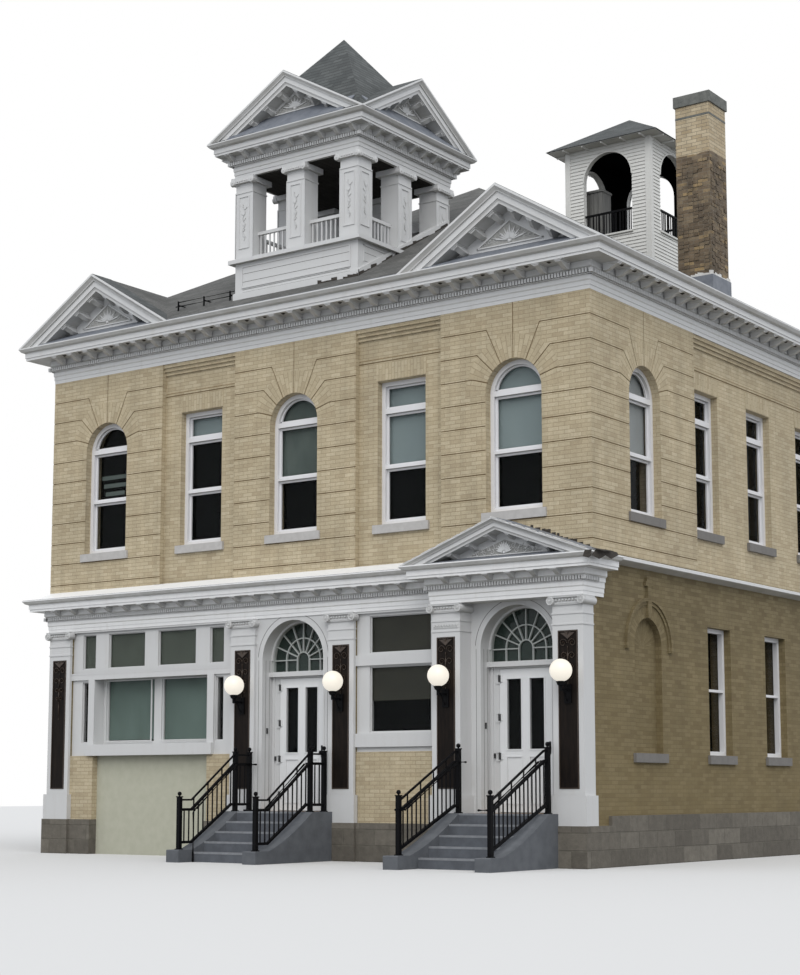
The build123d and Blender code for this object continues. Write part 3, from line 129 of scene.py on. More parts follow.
class Build:
    """Mesh of one piece, made of simple bodies."""

    def __init__(self, name, material, place=front, body="building", slot=None):
        self.name, self.material, self.place, self.body = name, material, place, body
        self.slot = SLOTS.get(material.name) if slot is None else slot
        self.points, self.faces = [], []

    def add(self, points, faces):
        n = len(self.points)
        self.points += [self.place(*p) for p in points]
        self.faces += [[i + n for i in f] for f in faces]
        return self

    def prism(self, a, b):
        n = len(a)
        sides = [[i, (i + 1) % n, n + (i + 1) % n, n + i] for i in range(n)]
        return self.add(list(a) + list(b), [list(range(n))[::-1], list(range(n, 2 * n))] + sides)

    def plate(self, outline, v0, v1):
        """Outline in (u, z), pushed from v0 to v1."""
        return self.prism([(u, v0, z) for u, z in outline], [(u, v1, z) for u, z in outline])

    def beam(self, profile, u0, u1):
        """Profile in (v, z), pushed from u0 to u1."""
        return self.prism([(u0, v, z) for v, z in profile], [(u1, v, z) for v, z in profile])

    def box(self, u0, u1, v0, v1, z0, z1):
        return self.plate([(u0, z0), (u1, z0), (u1, z1), (u0, z1)], v0, v1)

    def boxes(self, spans, v0, v1, z0, z1):
        for u0, u1 in spans:
            self.box(u0, u1, v0, v1, z0, z1)
        return self

    def bar(self, u, half, v0, v1, z0, z1):
        """Box with u in its middle."""
        return self.box(u - half, u + half, v0, v1, z0, z1)

    def post(self, u, v, half, z0, z1):
        """Square upright with u, v in its middle."""
        return self.bar(u, half, v - half, v + half, z0, z1)

    def band(self, mid, zc, r0, r1, v0, v1, a0=0.0, a1=180.0, n=24):
        """Part of a flat ring in the wall's plane."""
        for k in range(n):
            t0, t1 = (math.radians(a0 + (a1 - a0) * (k + q) / n) for q in (0, 1))
            self.plate([(mid + r * math.cos(t), zc + r * math.sin(t))
                        for r, t in ((r0, t0), (r1, t0), (r1, t1), (r0, t1))], v0, v1)
        return self

    def tube(self, path, r, n=6):
        """Round bar along a path; r is one radius or one for each point."""
        pts = [Vector(p) for p in path]
        last = len(pts) - 1
        points = []
        up = Vector((0.13, 0.31, 0.94))
        for i, p in enumerate(pts):
            q = (pts[min(i + 1, last)] - pts[max(i - 1, 0)]).normalized()
            a = q.cross(up)
            if a.length < 1e-4:
                a = q.cross(Vector((1, 0, 0)))
            a.normalize()
            b = up = q.cross(a)
            size = r[i] if isinstance(r, list) else r
            points += [tuple(p + size * (c * a + s * b)) for c, s in circle(n)]
        faces = [[i * n + k, i * n + (k + 1) % n, (i + 1) * n + (k + 1) % n, (i + 1) * n + k]
                 for i in range(last) for k in range(n)]
        return self.add(points, faces + [list(range(n))[::-1], [last * n + k for k in range(n)]])

    def lathe(self, profile, u, v, z, n=16):
        """Profile in (r, height above z) turned about a vertical line at u, v."""
        return self.spin([[(u + r * c, v + r * s, z + h) for r, h in profile] for c, s in circle(n)])

    def knob(self, profile, u, v, z, n=14):
        """Profile in (r, depth behind v) turned about a line that runs into the wall at u, z."""
        return self.spin([[(u + r * c, v + d, z + r * s) for r, d in profile] for c, s in circle(n)])

    def ball(self, u, v, z, r, n=10):
        arc = [(max(r * math.sin(math.pi * k / 8), 0.0005), -r * math.cos(math.pi * k / 8)) for k in range(9)]
        return self.lathe(arc, u, v, z, n)

    def spin(self, rows):
        n, m = len(rows), len(rows[0])
        faces = [[k * m + i, k * m + i + 1, ((k + 1) % n) * m + i + 1, ((k + 1) % n) * m + i]
                 for k in range(n) for i in range(m - 1)]
        faces += [[k * m for k in range(n)], [k * m + m - 1 for k in range(n)][::-1]]
        return self.add([p for row in rows for p in row], faces)

    def frame(self, u0, u1, z0, z1, w, v0, v1):
        """Thin rectangular frame on a face."""
        self.boxes([(u0, u1)], v0, v1, z0, z0 + w).boxes([(u0, u1)], v0, v1, z1 - w, z1)
        return self.boxes([(u0, u0 + w), (u1 - w, u1)], v0, v1, z0 + w, z1 - w)

    def strip(self, u0, z0, u1, z1, w, v0, v1):
        """Straight line of width w between two points in the wall's plane."""
        d = Vector((u1 - u0, z1 - z0)).normalized()
        nx, nz = -d[1] * w / 2, d[0] * w / 2
        u0, z0 = u0 - d[0] * 0.004, z0 - d[1] * 0.004
        u1, z1 = u1 + d[0] * 0.004, z1 + d[1] * 0.004
        return self.plate([(u0 + nx, z0 + nz), (u1 + nx, z1 + nz), (u1 - nx, z1 - nz), (u0 - nx, z0 - nz)], v0, v1)

    def leaf(self, u, z, angle, root, belly, tip, w, neck, v0, v1):
        """Flat leaf along the angle, w wide to each side at its belly and neck at its root."""
        c, s = math.cos(angle), math.sin(angle)
        return self.plate([(u + r * c - q * s, z + r * s + q * c) for r, q in (
            (root, -neck), (belly, -w), (tip, 0.0), (belly, w), (root, neck))], v0, v1)

    def done(self, replaces=(), smooth=False):
        mesh = bpy.data.meshes.new(self.name)
        mesh.from_pydata(self.points, [], self.faces)
        bm = bmesh.new()
        bm.from_mesh(mesh)
        bmesh.ops.recalc_face_normals(bm, faces=bm.faces)
        bm.to_mesh(mesh)
        bm.free()
        if smooth:
            for p in mesh.polygons:
                p.use_smooth = True
        piece = bpy.data.objects.new(self.name, mesh)
        bpy.context.scene.collection.objects.link(piece)
        mesh.materials.append(self.material)
        if replaces:
            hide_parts(*replaces)
        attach(piece, self.body)
        return piece


def spiral(cu, cz, r0, r1, start, turns, v, steps):
    """Scroll from radius r0 in to r1."""
    path = []
    for i in range(steps + 1):
        t = i / steps
        r = r0 + (r1 - r0) * t
        a = start + turns * 2 * math.pi * t
        path.append((cu + r * math.cos(a), v, cz + r * math.sin(a)))
    return path


# Materials
def operation(name, swapped=False):
    def run(a, b=0.0):
        return a.mat.math(name, b, a) if swapped else a.mat.math(name, a, b)
    return run


class Value:
    """Output of a node, to calculate with."""

    def __init__(self, mat, socket):
        self.mat, self.socket = mat, socket

    __add__ = operation("ADD")
    __sub__ = operation("SUBTRACT")
    __rsub__ = operation("SUBTRACT", True)
    __mul__ = operation("MULTIPLY")
    __truediv__ = operation("DIVIDE")
    __gt__ = operation("GREATER_THAN")
    __lt__ = operation("LESS_THAN")
    __abs__ = operation("ABSOLUTE")
    least = operation("MINIMUM")
    most = operation("MAXIMUM")
    root = operation("SQRT")


def either(pick, a, b):
    """a where pick is 1, b where it is 0."""
    return pick * a + (1.0 - pick) * b


class Tree:
    """Short hand for the nodes of one tree."""

    def __init__(self, owner):
        owner.use_nodes = True
        self.tree = owner.node_tree

    def node(self, kind, values=(), key=0, **props):
        """New node with its inputs set or linked; key is the output to give, None asks for the node."""
        made = self.tree.nodes.new("ShaderNode" + kind)
        for name, value in props.items():
            setattr(made, name, value)
        for name, value in dict(values).items():
            self.put(made.inputs[name], value)
        return made if key is None else self.out(made, key)

    def out(self, node, key=0):
        return Value(self, node.outputs[key])

    def put(self, socket, value):
        if isinstance(value, Value):
            self.tree.links.new(value.socket, socket)
        else:
            socket.default_value = (*value, 1.0)[:4] if socket.type == "RGBA" else value


class Nodes(Tree):
    """The nodes of one material, with the place p and the normal n as three values each."""

    def __init__(self, name, rough, local=False, **sockets):
        self.mat = bpy.data.materials.new(name)
        super().__init__(self.mat)
        self.shader = self.tree.nodes["Principled BSDF"]
        for key, value in {"Roughness": rough, **sockets}.items():
            self.put(self.shader.inputs[key.replace("_", " ")], value)
        geo = self.node("NewGeometry", key=None)
        self.p, self.n = ([self.out(part, k) for k in range(3)] for part in (
            self.node("SeparateXYZ", {0: self.out(geo, key)}, None) for key in ("Position", "True Normal")))
        self.pos = self.node("TexCoord", key="Object") if local else self.out(geo, "Position")

    def math(self, op, *values):
        return self.node("Math", enumerate(values), operation=op)

    def mix(self, fac, a, b, blend="MIX"):
        return self.node("Mix", {0: fac, 6: a, 7: b}, 2, data_type="RGBA", blend_type=blend)

    def times(self, a, b):
        return self.mix(1.0, a, b, "MULTIPLY")

    def ramp(self, fac, *stops):
        made = self.node("ValToRGB", {0: fac}, None)
        ramp = made.color_ramp
        while len(ramp.elements) < len(stops):
            ramp.elements.new(0.5)
        for e, (pos, col) in zip(ramp.elements, stops):
            e.position = pos
            e.color = (*col, 1.0) if isinstance(col, tuple) else (col, col, col, 1.0)
        return self.out(made)

    def noise(self, scale, detail=3.0, rough=0.55, stretch=None):
        vector = self.pos
        if stretch:
            vector = self.node("VectorMath", {0: vector, 1: stretch}, operation="MULTIPLY")
        return self.node("TexNoise", {"Vector": vector, "Scale": scale, "Detail": detail, "Roughness": rough})

    def courses(self, u, z, wide, row, joint, soft, tones, offset=0.5):
        """Brick pattern over u and z: its colours and its joints. tones: brick, brick, joint."""
        made = self.node("TexBrick", {
            "Vector": self.node("CombineXYZ", {0: u, 1: z}), "Color1": tones[0], "Color2": tones[1],
            "Mortar": tones[2], "Scale": 1.0, "Mortar Size": joint, "Mortar Smooth": soft, "Bias": 0.0,
            "Brick Width": wide, "Row Height": row}, None, offset=offset)
        return self.out(made, "Color"), self.out(made, "Fac")

    def along(self):
        """1 on the sides, and the way along the wall, whichever way it faces."""
        side = abs(self.n[0]) > 0.6
        return side, either(side, self.p[1], self.p[0])

    def bump(self, height, distance, strength):
        self.put(self.shader.inputs["Normal"],
                 self.node("Bump", {"Strength": strength, "Distance": distance, "Height": height}))

    def color(self, value):
        self.put(self.shader.inputs["Base Color"], value)
        return self.mat


BLACK, GREY, FULL = (0, 0, 0), (0.5, 0.5, 0.5), (1, 1, 1)


def brick(name, stops, mortar, arches=False, soldier=False, weather=False, newer=None, split=False):
    """Brickwork in courses, which turn around the heads of the arched openings.

    soldier sets the bricks upright, weather browns the foot of the wall, newer is a height with the colours above it,
    and split paints shade over the lower storey.
    """
    m = Nodes(name, 0.9)
    x, y, z = m.p
    side, u = m.along()
    if arches:
        upper = z > 5.0
        dz = z - (upper * (WINDOW_SPRING - NICHE_SPRING) + NICHE_SPRING)
        near, far = (abs(y - (mid + SHIFT)) for mid in SIDE_ARCHES)
        on_side = near.least((1.0 - upper) * 20.0 + far)
        a = either(side, on_side, abs(x).least(abs(abs(x) - FRONT_ARCHES[2])))
        r = (a * a + dz * dz).root()
        inside = (r < upper * (0.95 - 0.69) + 0.69) * (dz > 0.0)
        u = either(inside, r - WINDOW_HALF, u)
        z = either(inside, m.math("ARCTAN2", dz, a) * 0.62, z)
    if soldier:
        u, z = z, u
    shade_of, joint = m.courses(u, z, 0.2125, 0.06773, 0.0045, 0.25, (BLACK, FULL, GREY))
    tone = m.ramp(shade_of, *stops)
    grain = m.noise(55.0, 4.0, 0.7)
    if newer:
        wave = (m.noise(3.0) - 0.5) * 0.12
        dark_tone = m.ramp(m.noise(1.0, 5.0, 0.7, (3.0, 3.0, 1.4)), (0.40, 0.0), (0.62, 0.8))
        tone = m.mix(dark_tone, tone, (0.075, 0.058, 0.042))
        tone = m.mix(z + wave > newer[0], tone, m.ramp(shade_of, *newer[1]))
    tone = m.mix(0.35, tone, m.ramp(grain, (0.3, 0.35), (0.7, 0.75)), "OVERLAY")
    col = m.mix(joint, tone, mortar)
    col = m.times(col, m.ramp(m.noise(0.7, 4.0, 0.6), (0.3, 0.88), (0.68, 1.06)))
    col = m.times(col, m.ramp(m.noise(1.0, 3.0, 0.6, (5.0, 5.0, 0.5)), (0.35, 0.9), (0.65, 1.03)))
    if split:
        # painted shade: the lower storey is darkened below 4.9 m
        col = m.mix(m.p[2] < 4.9, col, m.times(col, (0.34, 0.32, 0.24)))
    if weather:
        low = (1.0 - m.p[2] * (1.0 / 4.6)).most(0.0) * m.noise(1.0, 4.0, 0.7, (1.3, 1.3, 2.6))
        col = m.mix(low, col, (0.20, 0.15, 0.065))
    m.bump(grain * 0.35 - joint, 0.004, 0.55)
    return m.color(col)


def paint(name, base, amount=0.35, rough=0.5, local=False):
    """Old gloss paint: slight tone changes, runs of dirt, painted shade on the faces that look down, and fine
    unevenness.
    """
    m = Nodes(name, rough, local)
    runs = m.ramp(m.noise(1.0, 4.0, 0.6, (9.0, 9.0, 0.9)), (0.48, 0.0), (0.75, 1.0))
    wear = runs * m.ramp(m.noise(6.0, 5.0, 0.65), (0.4, 0.1), (0.7, 1.0))
    col = m.mix(wear * amount, base, (0.45, 0.43, 0.40))
    # painted shade: faces that look down are darkened towards brown, broken up by noise
    under = (m.n[2] * -0.62).most(0.0) * m.ramp(m.noise(2.6, 4.0, 0.6), (0.35, 0.55), (0.65, 1.0))
    col = m.mix(under, col, (0.27, 0.25, 0.19))
    m.bump(m.noise(38.0, 3.0, 0.5), 0.0012, 0.35)
    return m.color(col)


def plain(name, base, other, scale=20.0, rough=0.6, bump=0.001, stretch=None, **sockets):
    """Two tones of a grain."""
    m = Nodes(name, rough, **sockets)
    grain = m.noise(scale, 4.0, 0.6, stretch)
    m.bump(grain, bump, 0.5)
    return m.color(m.mix(m.ramp(grain, (0.35, 0.0), (0.65, 1.0)), base, other))


def shingles(name, dark, light, row, wide):
    """Shingles in rows that follow the slope, with painted shadow along the butt of each row."""
    m = Nodes(name, 0.95)
    u = either(abs(m.n[0]) > abs(m.n[1]), m.p[1], m.p[0])
    flat = (1.0 - m.n[2] * m.n[2]).most(0.05).root()
    s = m.p[2] / flat + (m.noise(1.1) - 0.5) * 0.03
    shade_of, joint = m.courses(u, s, wide, row, 0.004, 0.1, (BLACK, FULL, (0.2, 0.2, 0.2)), 0.37)
    saw = m.math("FRACT", s / row)
    tone = m.mix(0.5, m.mix(shade_of, dark, light), m.ramp(m.noise(90.0, 3.0, 0.7), (0.3, 0.25), (0.7, 0.75)),
                 "OVERLAY")
    # painted shadow: a dark band along the butt of each row
    tone = m.mix(m.ramp(saw, (0.0, 0.9), (0.24, 0.0)), tone, (0.015, 0.015, 0.018))
    tone = m.mix(joint * 0.6, tone, (0.03, 0.03, 0.03))
    m.bump(saw * -1.0, 0.02, 0.9)
    return m.color(m.times(tone, m.ramp(m.noise(0.8, 4.0, 0.6), (0.3, 0.75), (0.7, 1.15))))


def glazing(name, tint, rough, level, alpha=0.2):
    """Pane that shows the painted shade of the room behind it through a grey sheen."""
    m = Nodes(name, rough, IOR=1.5, Specular_IOR_Level=level, Alpha=alpha)
    wave = m.noise(1.6, 2.0, 0.5)
    m.bump(wave, 0.02, 0.05)
    return m.color(m.mix(wave, tint, tuple(c * 1.25 for c in tint)))


def sills():
    """Pale on the front, darker on the flanks."""
    m = Nodes("sill_stone", 0.85)
    grain = m.noise(9.0, 4.0, 0.6)
    m.bump(grain, 0.003, 0.5)
    return m.color(m.mix(abs(m.p[0]) > 6.0, m.mix(grain, (0.52, 0.51, 0.50), (0.36, 0.35, 0.34)),
                         m.mix(grain, (0.20, 0.19, 0.18), (0.13, 0.125, 0.12))))


def rubble():
    m = Nodes("foundation_stone", 0.95)
    tone, joint = m.courses(m.along()[1], m.p[2], 0.62, 0.27, 0.012, 0.3,
                            ((0.10, 0.09, 0.075), (0.17, 0.155, 0.13), (0.12, 0.11, 0.09)))
    rock = m.noise(7.0, 6.0, 0.7)
    m.bump(rock - joint, 0.02, 0.7)
    return m.color(m.mix(0.5, tone, m.ramp(rock, (0.3, 0.3), (0.7, 0.7)), "OVERLAY"))


def lit_glass():
    m = Nodes("lamp_glow", 0.35, Emission_Color=(1.0, 0.94, 0.83, 1.0), Emission_Strength=0.72)
    return m.color(m.mix(m.noise(4.0), (0.34, 0.32, 0.28), (0.31, 0.29, 0.25)))


BRICK = [(0.0, (0.395, 0.325, 0.215)), (0.15, (0.435, 0.365, 0.245)), (0.6, (0.46, 0.39, 0.265)),
         (1.0, (0.50, 0.43, 0.30))]
MORTAR = (0.33, 0.265, 0.17)
# Darker copy of the brick tones for the lower walls: painted shade
LOW_BRICK_SHADE = [(0.0, (0.13, 0.099, 0.048)), (0.3, (0.158, 0.125, 0.062)), (1.0, (0.20, 0.16, 0.086))]
OLD_STACK = [(0.0, (0.11, 0.08, 0.05)), (0.4, (0.17, 0.125, 0.08)), (0.8, (0.22, 0.17, 0.11)),
             (1.0, (0.34, 0.24, 0.12))]
NEW_STACK = [(0.0, (0.38, 0.30, 0.19)), (0.5, (0.45, 0.37, 0.25)), (1.0, (0.50, 0.42, 0.29))]
brick_wall = brick("brick_wall", BRICK, MORTAR, arches=True)
# painted shade: the lower walls in a darkened copy of the brick
brick_low = brick("brick_low", LOW_BRICK_SHADE, (0.12, 0.090, 0.045), arches=True, weather=True)
# the rear wall's brick, with painted shade over its lower storey
brick_rear = brick("brick_rear", BRICK, MORTAR, arches=True, split=True)
brick_lintel = brick("brick_lintel", BRICK, MORTAR, soldier=True)
brick_stack = brick("brick_stack", OLD_STACK, (0.19, 0.165, 0.13), newer=(13.12, NEW_STACK))
# Copies of one white paint, made lighter and darker part by part: painted light and shade. The frieze's copy is
# brightened against the shade under the cornice, and the fanlight bars' copy is darkened.
white = paint("white_boards", (0.63, 0.635, 0.64))
white_top = paint("white_lookout", (0.575, 0.58, 0.585), 0.3)
white_leaf = paint("white_leaf", (0.70, 0.71, 0.72), 0.12, 0.4, local=True)
white_low = paint("white_street", (0.57, 0.575, 0.58), 0.3, 0.45)
white_frieze = paint("white_frieze", (0.80, 0.805, 0.81), 0.3, 0.45)
white_painted_shade = paint("white_bars", (0.36, 0.38, 0.37), 0.3)
grey_boards = paint("grey_boards", (0.62, 0.62, 0.60), 0.45, 0.6)
sash_paint = paint("sash_paint", (0.70, 0.70, 0.72), 0.2, 0.45)
ceiling = plain("dark_ceiling", (0.022, 0.021, 0.018), (0.032, 0.030, 0.026), 6.0, 0.9, Specular_IOR_Level=0.1)
# Dark strips that paint the shade between dentils and in grooves
gap_shade_soft = plain("dentil_gaps", (0.06, 0.057, 0.052), (0.10, 0.096, 0.088), 30.0, 0.9)
# Near-black for painted shade: soffit rosettes, torn flashing and the torn corner of the portico
gap_dark = plain("gap_dark", (0.030, 0.026, 0.022), (0.05, 0.042, 0.035), 30.0, 0.9)
# Brown-black for the painted shadow in the sunk joints and grooves of the brickwork
groove_shade = plain("joint_dark", (0.16, 0.11, 0.05), (0.24, 0.165, 0.08), 25.0, 0.95)
# Grey ground behind the reliefs: painted shade between the leaves and scrolls
relief_shade = plain("relief_ground", (0.30, 0.30, 0.29), (0.40, 0.40, 0.385), 20.0, 0.9)
iron = plain("black_iron", (0.0025, 0.0025, 0.003), (0.005, 0.005, 0.006), 40.0, 0.55, 0.0006, Specular_IOR_Level=0.08)
iron_soft = plain("hinge_iron", (0.02, 0.02, 0.022), (0.035, 0.035, 0.035), 40.0, 0.5, 0.0006)
carved = plain("carved_brown", (0.007, 0.0055, 0.005), (0.014, 0.010, 0.008), 22.0, 0.5, 0.002, (1, 1, 0.15),
               Specular_IOR_Level=0.08)
carved_high = plain("carved_relief", (0.030, 0.020, 0.014), (0.055, 0.036, 0.024), 22.0, 0.45, 0.002, (1, 1, 0.3))
# Darker copy of the board paint for the cabinet inside the turret: painted shade
cabinet_shaded = plain("cabinet_boards", (0.16, 0.16, 0.155), (0.22, 0.22, 0.21), 5.0, 0.8, 0.001, (6, 6, 0.6))
lead = plain("lead_sheet", (0.13, 0.145, 0.175), (0.19, 0.205, 0.235), 5.0, 0.55, 0.003)
flash_white = plain("white_flashing", (0.72, 0.72, 0.71), (0.50, 0.49, 0.47), 3.5, 0.5, 0.004, (3, 3, 1))
roof_dark = shingles("roof_shingles", (0.078, 0.078, 0.074), (0.122, 0.122, 0.116), 0.125, 0.22)
cupola_dark = shingles("cupola_shingles", (0.046, 0.052, 0.053), (0.086, 0.094, 0.094), 0.115, 0.21)
stone, ashlar, glow = sills(), rubble(), lit_glass()
concrete = plain("step_concrete", (0.108, 0.118, 0.136), (0.082, 0.089, 0.103), 5.0, 0.9, 0.002)
step_edge = plain("step_edge", (0.24, 0.252, 0.272), (0.19, 0.20, 0.217), 8.0, 0.85)
cheek_mat = plain("cheek_concrete", (0.115, 0.124, 0.138), (0.085, 0.092, 0.104), 4.0, 0.85, 0.0015)
cap_stone = plain("chimney_cap_stone", (0.10, 0.105, 0.10), (0.16, 0.165, 0.155), 9.0, 0.9, 0.003)
stucco = plain("cream_stucco", (0.455, 0.455, 0.37), (0.42, 0.42, 0.335), 6.0, 0.9)
timber = plain("floor_timber", (0.30, 0.20, 0.12), (0.20, 0.13, 0.08), 3.0, 0.6, 0.001, (1, 9, 1))
# Blinds behind the panes. The tones of the upper ones also stand in for the sky's reflection in the upper panes:
# painted reflection in part.
blind = plain("roller_blind", (0.46, 0.57, 0.58), (0.40, 0.50, 0.51), 1.2, 0.8, 0.0005, (1, 1, 0.4))
blind_mid = plain("worn_blind", (0.19, 0.24, 0.22), (0.13, 0.17, 0.155), 2.2, 0.8, 0.0005, (1, 1, 0.6))
blind_side = plain("pale_blind", (0.62, 0.66, 0.66), (0.55, 0.59, 0.59), 1.2, 0.8, 0.0005, (1, 1, 0.4))
blind_dim = plain("dim_blind", (0.045, 0.046, 0.034), (0.075, 0.074, 0.055), 1.6, 0.8, 0.0005, (1, 1, 2.0))
blind_low = plain("low_blind", (0.26, 0.365, 0.325), (0.20, 0.285, 0.25), 1.5, 0.8, 0.0005, (1, 1, 0.4))
blind_top = plain("top_blind", (0.155, 0.185, 0.15), (0.12, 0.14, 0.115), 2.5, 0.8, 0.0005)
# Near-black sheets that paint the shade of the rooms behind the windows and of the turret's inside
shade = plain("dark_room", (0.0025, 0.003, 0.003), (0.005, 0.006, 0.006), 2.0, 0.7, 0.0, Specular_IOR_Level=0.0)
pane = glazing("pane", (0.004, 0.005, 0.005), 0.04, 0.2)
pane_dark = glazing("pane_dark", (0.006, 0.007, 0.007), 0.04, 0.22)
pane_fan = glazing("pane_fan", (0.030, 0.045, 0.038), 0.08, 0.3, 0.6)

# Slot for the pieces made of a material
SLOTS = {material.name: slot for slot, materials in {
    "white_paint": (white, white_top, white_leaf, white_low, white_frieze), "brick": (brick_wall, brick_lintel),
    "chimney_brick": (brick_stack,), "clapboard": (grey_boards, cabinet_shaded), "shingle": (cupola_dark,),
    "sash": (sash_paint,), "panel_brown": (carved_high,), "step_stone": (cheek_mat, step_edge),
    "black_iron": (iron, iron_soft)}.items() for material in materials}

# Materials of the CAD nodes that stay in view
for material, nodes in (
        (ashlar, "foundation"), (timber, "ground_floor upper_floor"), (lead, "lookout_floors"),
        (brick_low, "front_frame side_lower_walls"), (brick_rear, "rear_wall"),
        (brick_wall, "pavilion_walls recess_walls shopfront_walls"), (stucco, "shopfront_panel"),
        (sash_paint, "front_window_frames side_window_frames"), (stone, "window_sills"),
        (pane, "front_window_glass side_window_glass"), (pane_fan, "fanlight_glass"),
        (pane_dark, "shopfront_glass door_middle_glass door_portico_glass"),
        (white_low, "pilasters pilaster_capitals door_jambs door_arches door_frames shopfront_frames portico_pediment"),
        (white_painted_shade, "fanlight_bars"), (white_leaf, "door_middle door_portico"), (white_frieze, "lower_entablature"),
        (white, "string_course main_cornice_ends main_cornice_sides modillions pediments"),
        (white_top, "cupola_base cupola_piers cupola_railings cupola_entablature cupola_pediments"),
        (roof_dark, "main_roof gable_roofs"), (cupola_dark, "cupola_roof turret_roof"), (grey_boards, "turret_walls"),
        (iron, "turret_railings stair_railings lamp_brackets"), (glow, "lamp_globes"), (carved, "pilaster_panels"),
        (concrete, "entrance_stairs"), (cheek_mat, "stair_cheeks"), (brick_stack, "chimney"),
        (cap_stone, "chimney_cap")):
    for node in nodes.split():
        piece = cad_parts.get(node)
        if piece is None:
            continue
        if not piece.data.materials:
            piece.data.materials.append(material)
        for slot in piece.material_slots:
            slot.material = material


# Cornices and pediments
def dentils(build, mid, length, z0, z1, out, step=0.0575, wide=0.032):
    for u in spaced(length, step):
        build.bar(mid + u, wide / 2, -out, -out + 0.045, z0, z1)


def toothed(group, side, material, place, mid, half, length, z0, z1, gap_v, **tooth):
    """Dentils of one side with its corner teeth, the fillet under them and a dark strip behind them: painted shade
    between the teeth.
    """
    long = side in ("front", "rear")
    teeth = Build("%s_dentils_%s" % (group, side), material, place)
    dentils(teeth, mid, length, z0, z1, 0.118, **tooth)
    if long:
        teeth.boxes(pair(mid, half + 0.060, half + 0.118), -0.118, -0.060, z0 - 0.001, z1)
    teeth.bar(mid, half + 0.068, -0.079 if long else -0.078, 0.0, z0 - 0.014, z0 - 0.0035).done()
    ground = Build("%s_dentil_gaps_%s" % (group, side), gap_shade_soft, place)
    ground.bar(mid, half + 0.07, gap_v, 0.0, z0 - 0.004, z1 + 0.004).done()


def bracket(build, u, wide, inner, reach, top, tall):
    """Scrolled modillion that hangs under the soffit, narrower at its foot."""
    prof = [(inner, top), (-reach, top), (-reach, top - tall * 0.42)]
    for k in range(9):
        t = k / 8
        drop = 0.50 + 0.95 * (1 - math.cos(math.pi * min(1.0, t * 1.25))) / 2
        prof.append((-reach + 0.012 + (reach + inner - 0.01) * t, top - tall * drop))
    half = wide / 2
    build.prism(*([(u + side * half * (0.78 if top - z > tall * 0.5 else 1.0), v, z) for v, z in prof]
                  for side in (-1, 1)))
    build.bar(u, half * 1.3, -reach - 0.018, inner, top - tall * 0.2, top)


def rake(build, mid, half, z0, rise, profile, lift=0.0):
    """Raking moulding on both slopes; the profile is (w, v), with w square to the slope."""
    slope = math.hypot(half, rise)
    c, s = half / slope, rise / slope
    for side in (-1, 1):
        ends = []
        for foot in (True, False):
            ends.append([])
            for w, v in profile:
                t = w * c / s + lift if foot else (half - w * s) / c
                ends[-1].append((mid + side * (-half + t * c + w * s), v, z0 + t * s - w * c))
        build.prism(*ends)


def ragged(build, u0, u1, foot, tall, v0, v1, step=0.07, wild=0.6):
    """Torn strip: foot(u) is its lower edge, and its upper edge is uneven."""
    u = u0
    while u < u1 - 1e-4:
        b = min(u + step * rng.uniform(0.6, 1.6), u1)
        high = tall * (1 - wild * rng.random())
        build.plate([(u, foot(u)), (b, foot(b)), (b, foot(b) + high * rng.uniform(0.75, 1.0)), (u, foot(u) + high)],
                    v0, v1)
        u = b


def fan(name, place, mid, half, z0, z1, v):
    """Raised triangle filled with a symmetrical relief of leaves and scrolls, on a darker ground that paints the shade
    between them.
    """
    size = half / 0.647
    corners = [(mid - half, z0), (mid + half, z0), (mid, z1)]
    Build(name + "_relief_ground", relief_shade, place).plate(corners, v - 0.008, v).done()
    relief = Build(name + "_relief", white, place)
    for a, b in zip(corners, corners[1:] + corners[:1]):
        relief.strip(*a, *b, 0.022 * size, v - 0.026, v)
    hub = z0 + 0.05 * size
    w = 0.015 * size
    for k in range(-6, 7):
        a = math.radians(90 - 12.6 * k)
        reach = (0.88 if k % 2 == 0 else 0.66) * (z1 - hub) / (math.sin(a) + abs(math.cos(a)) * (z1 - z0) / half)
        relief.leaf(mid, hub, a, 0.2 * reach, 0.62 * reach, reach, w, w * 0.3, v - 0.026, v - 0.004)
    relief.knob([(0.0, -0.04), (0.03 * size, -0.034), (0.042 * size, -0.01), (0.042 * size, 0.0)], mid, v, hub, 10)
    for side in (-1, 1):
        for at, r0, high in ((0.30, 0.040, 0.170), (0.46, 0.046, 0.115), (0.62, 0.036, 0.085), (0.75, 0.026, 0.060),
                             (0.86, 0.018, 0.045)):
            relief.tube(spiral(mid + side * at * half, z0 + high * size, r0 * size, 0.014 * size, math.pi * 0.5,
                               side * 1.3, v - 0.014, 12), 0.008 * size, 4)
    relief.done()


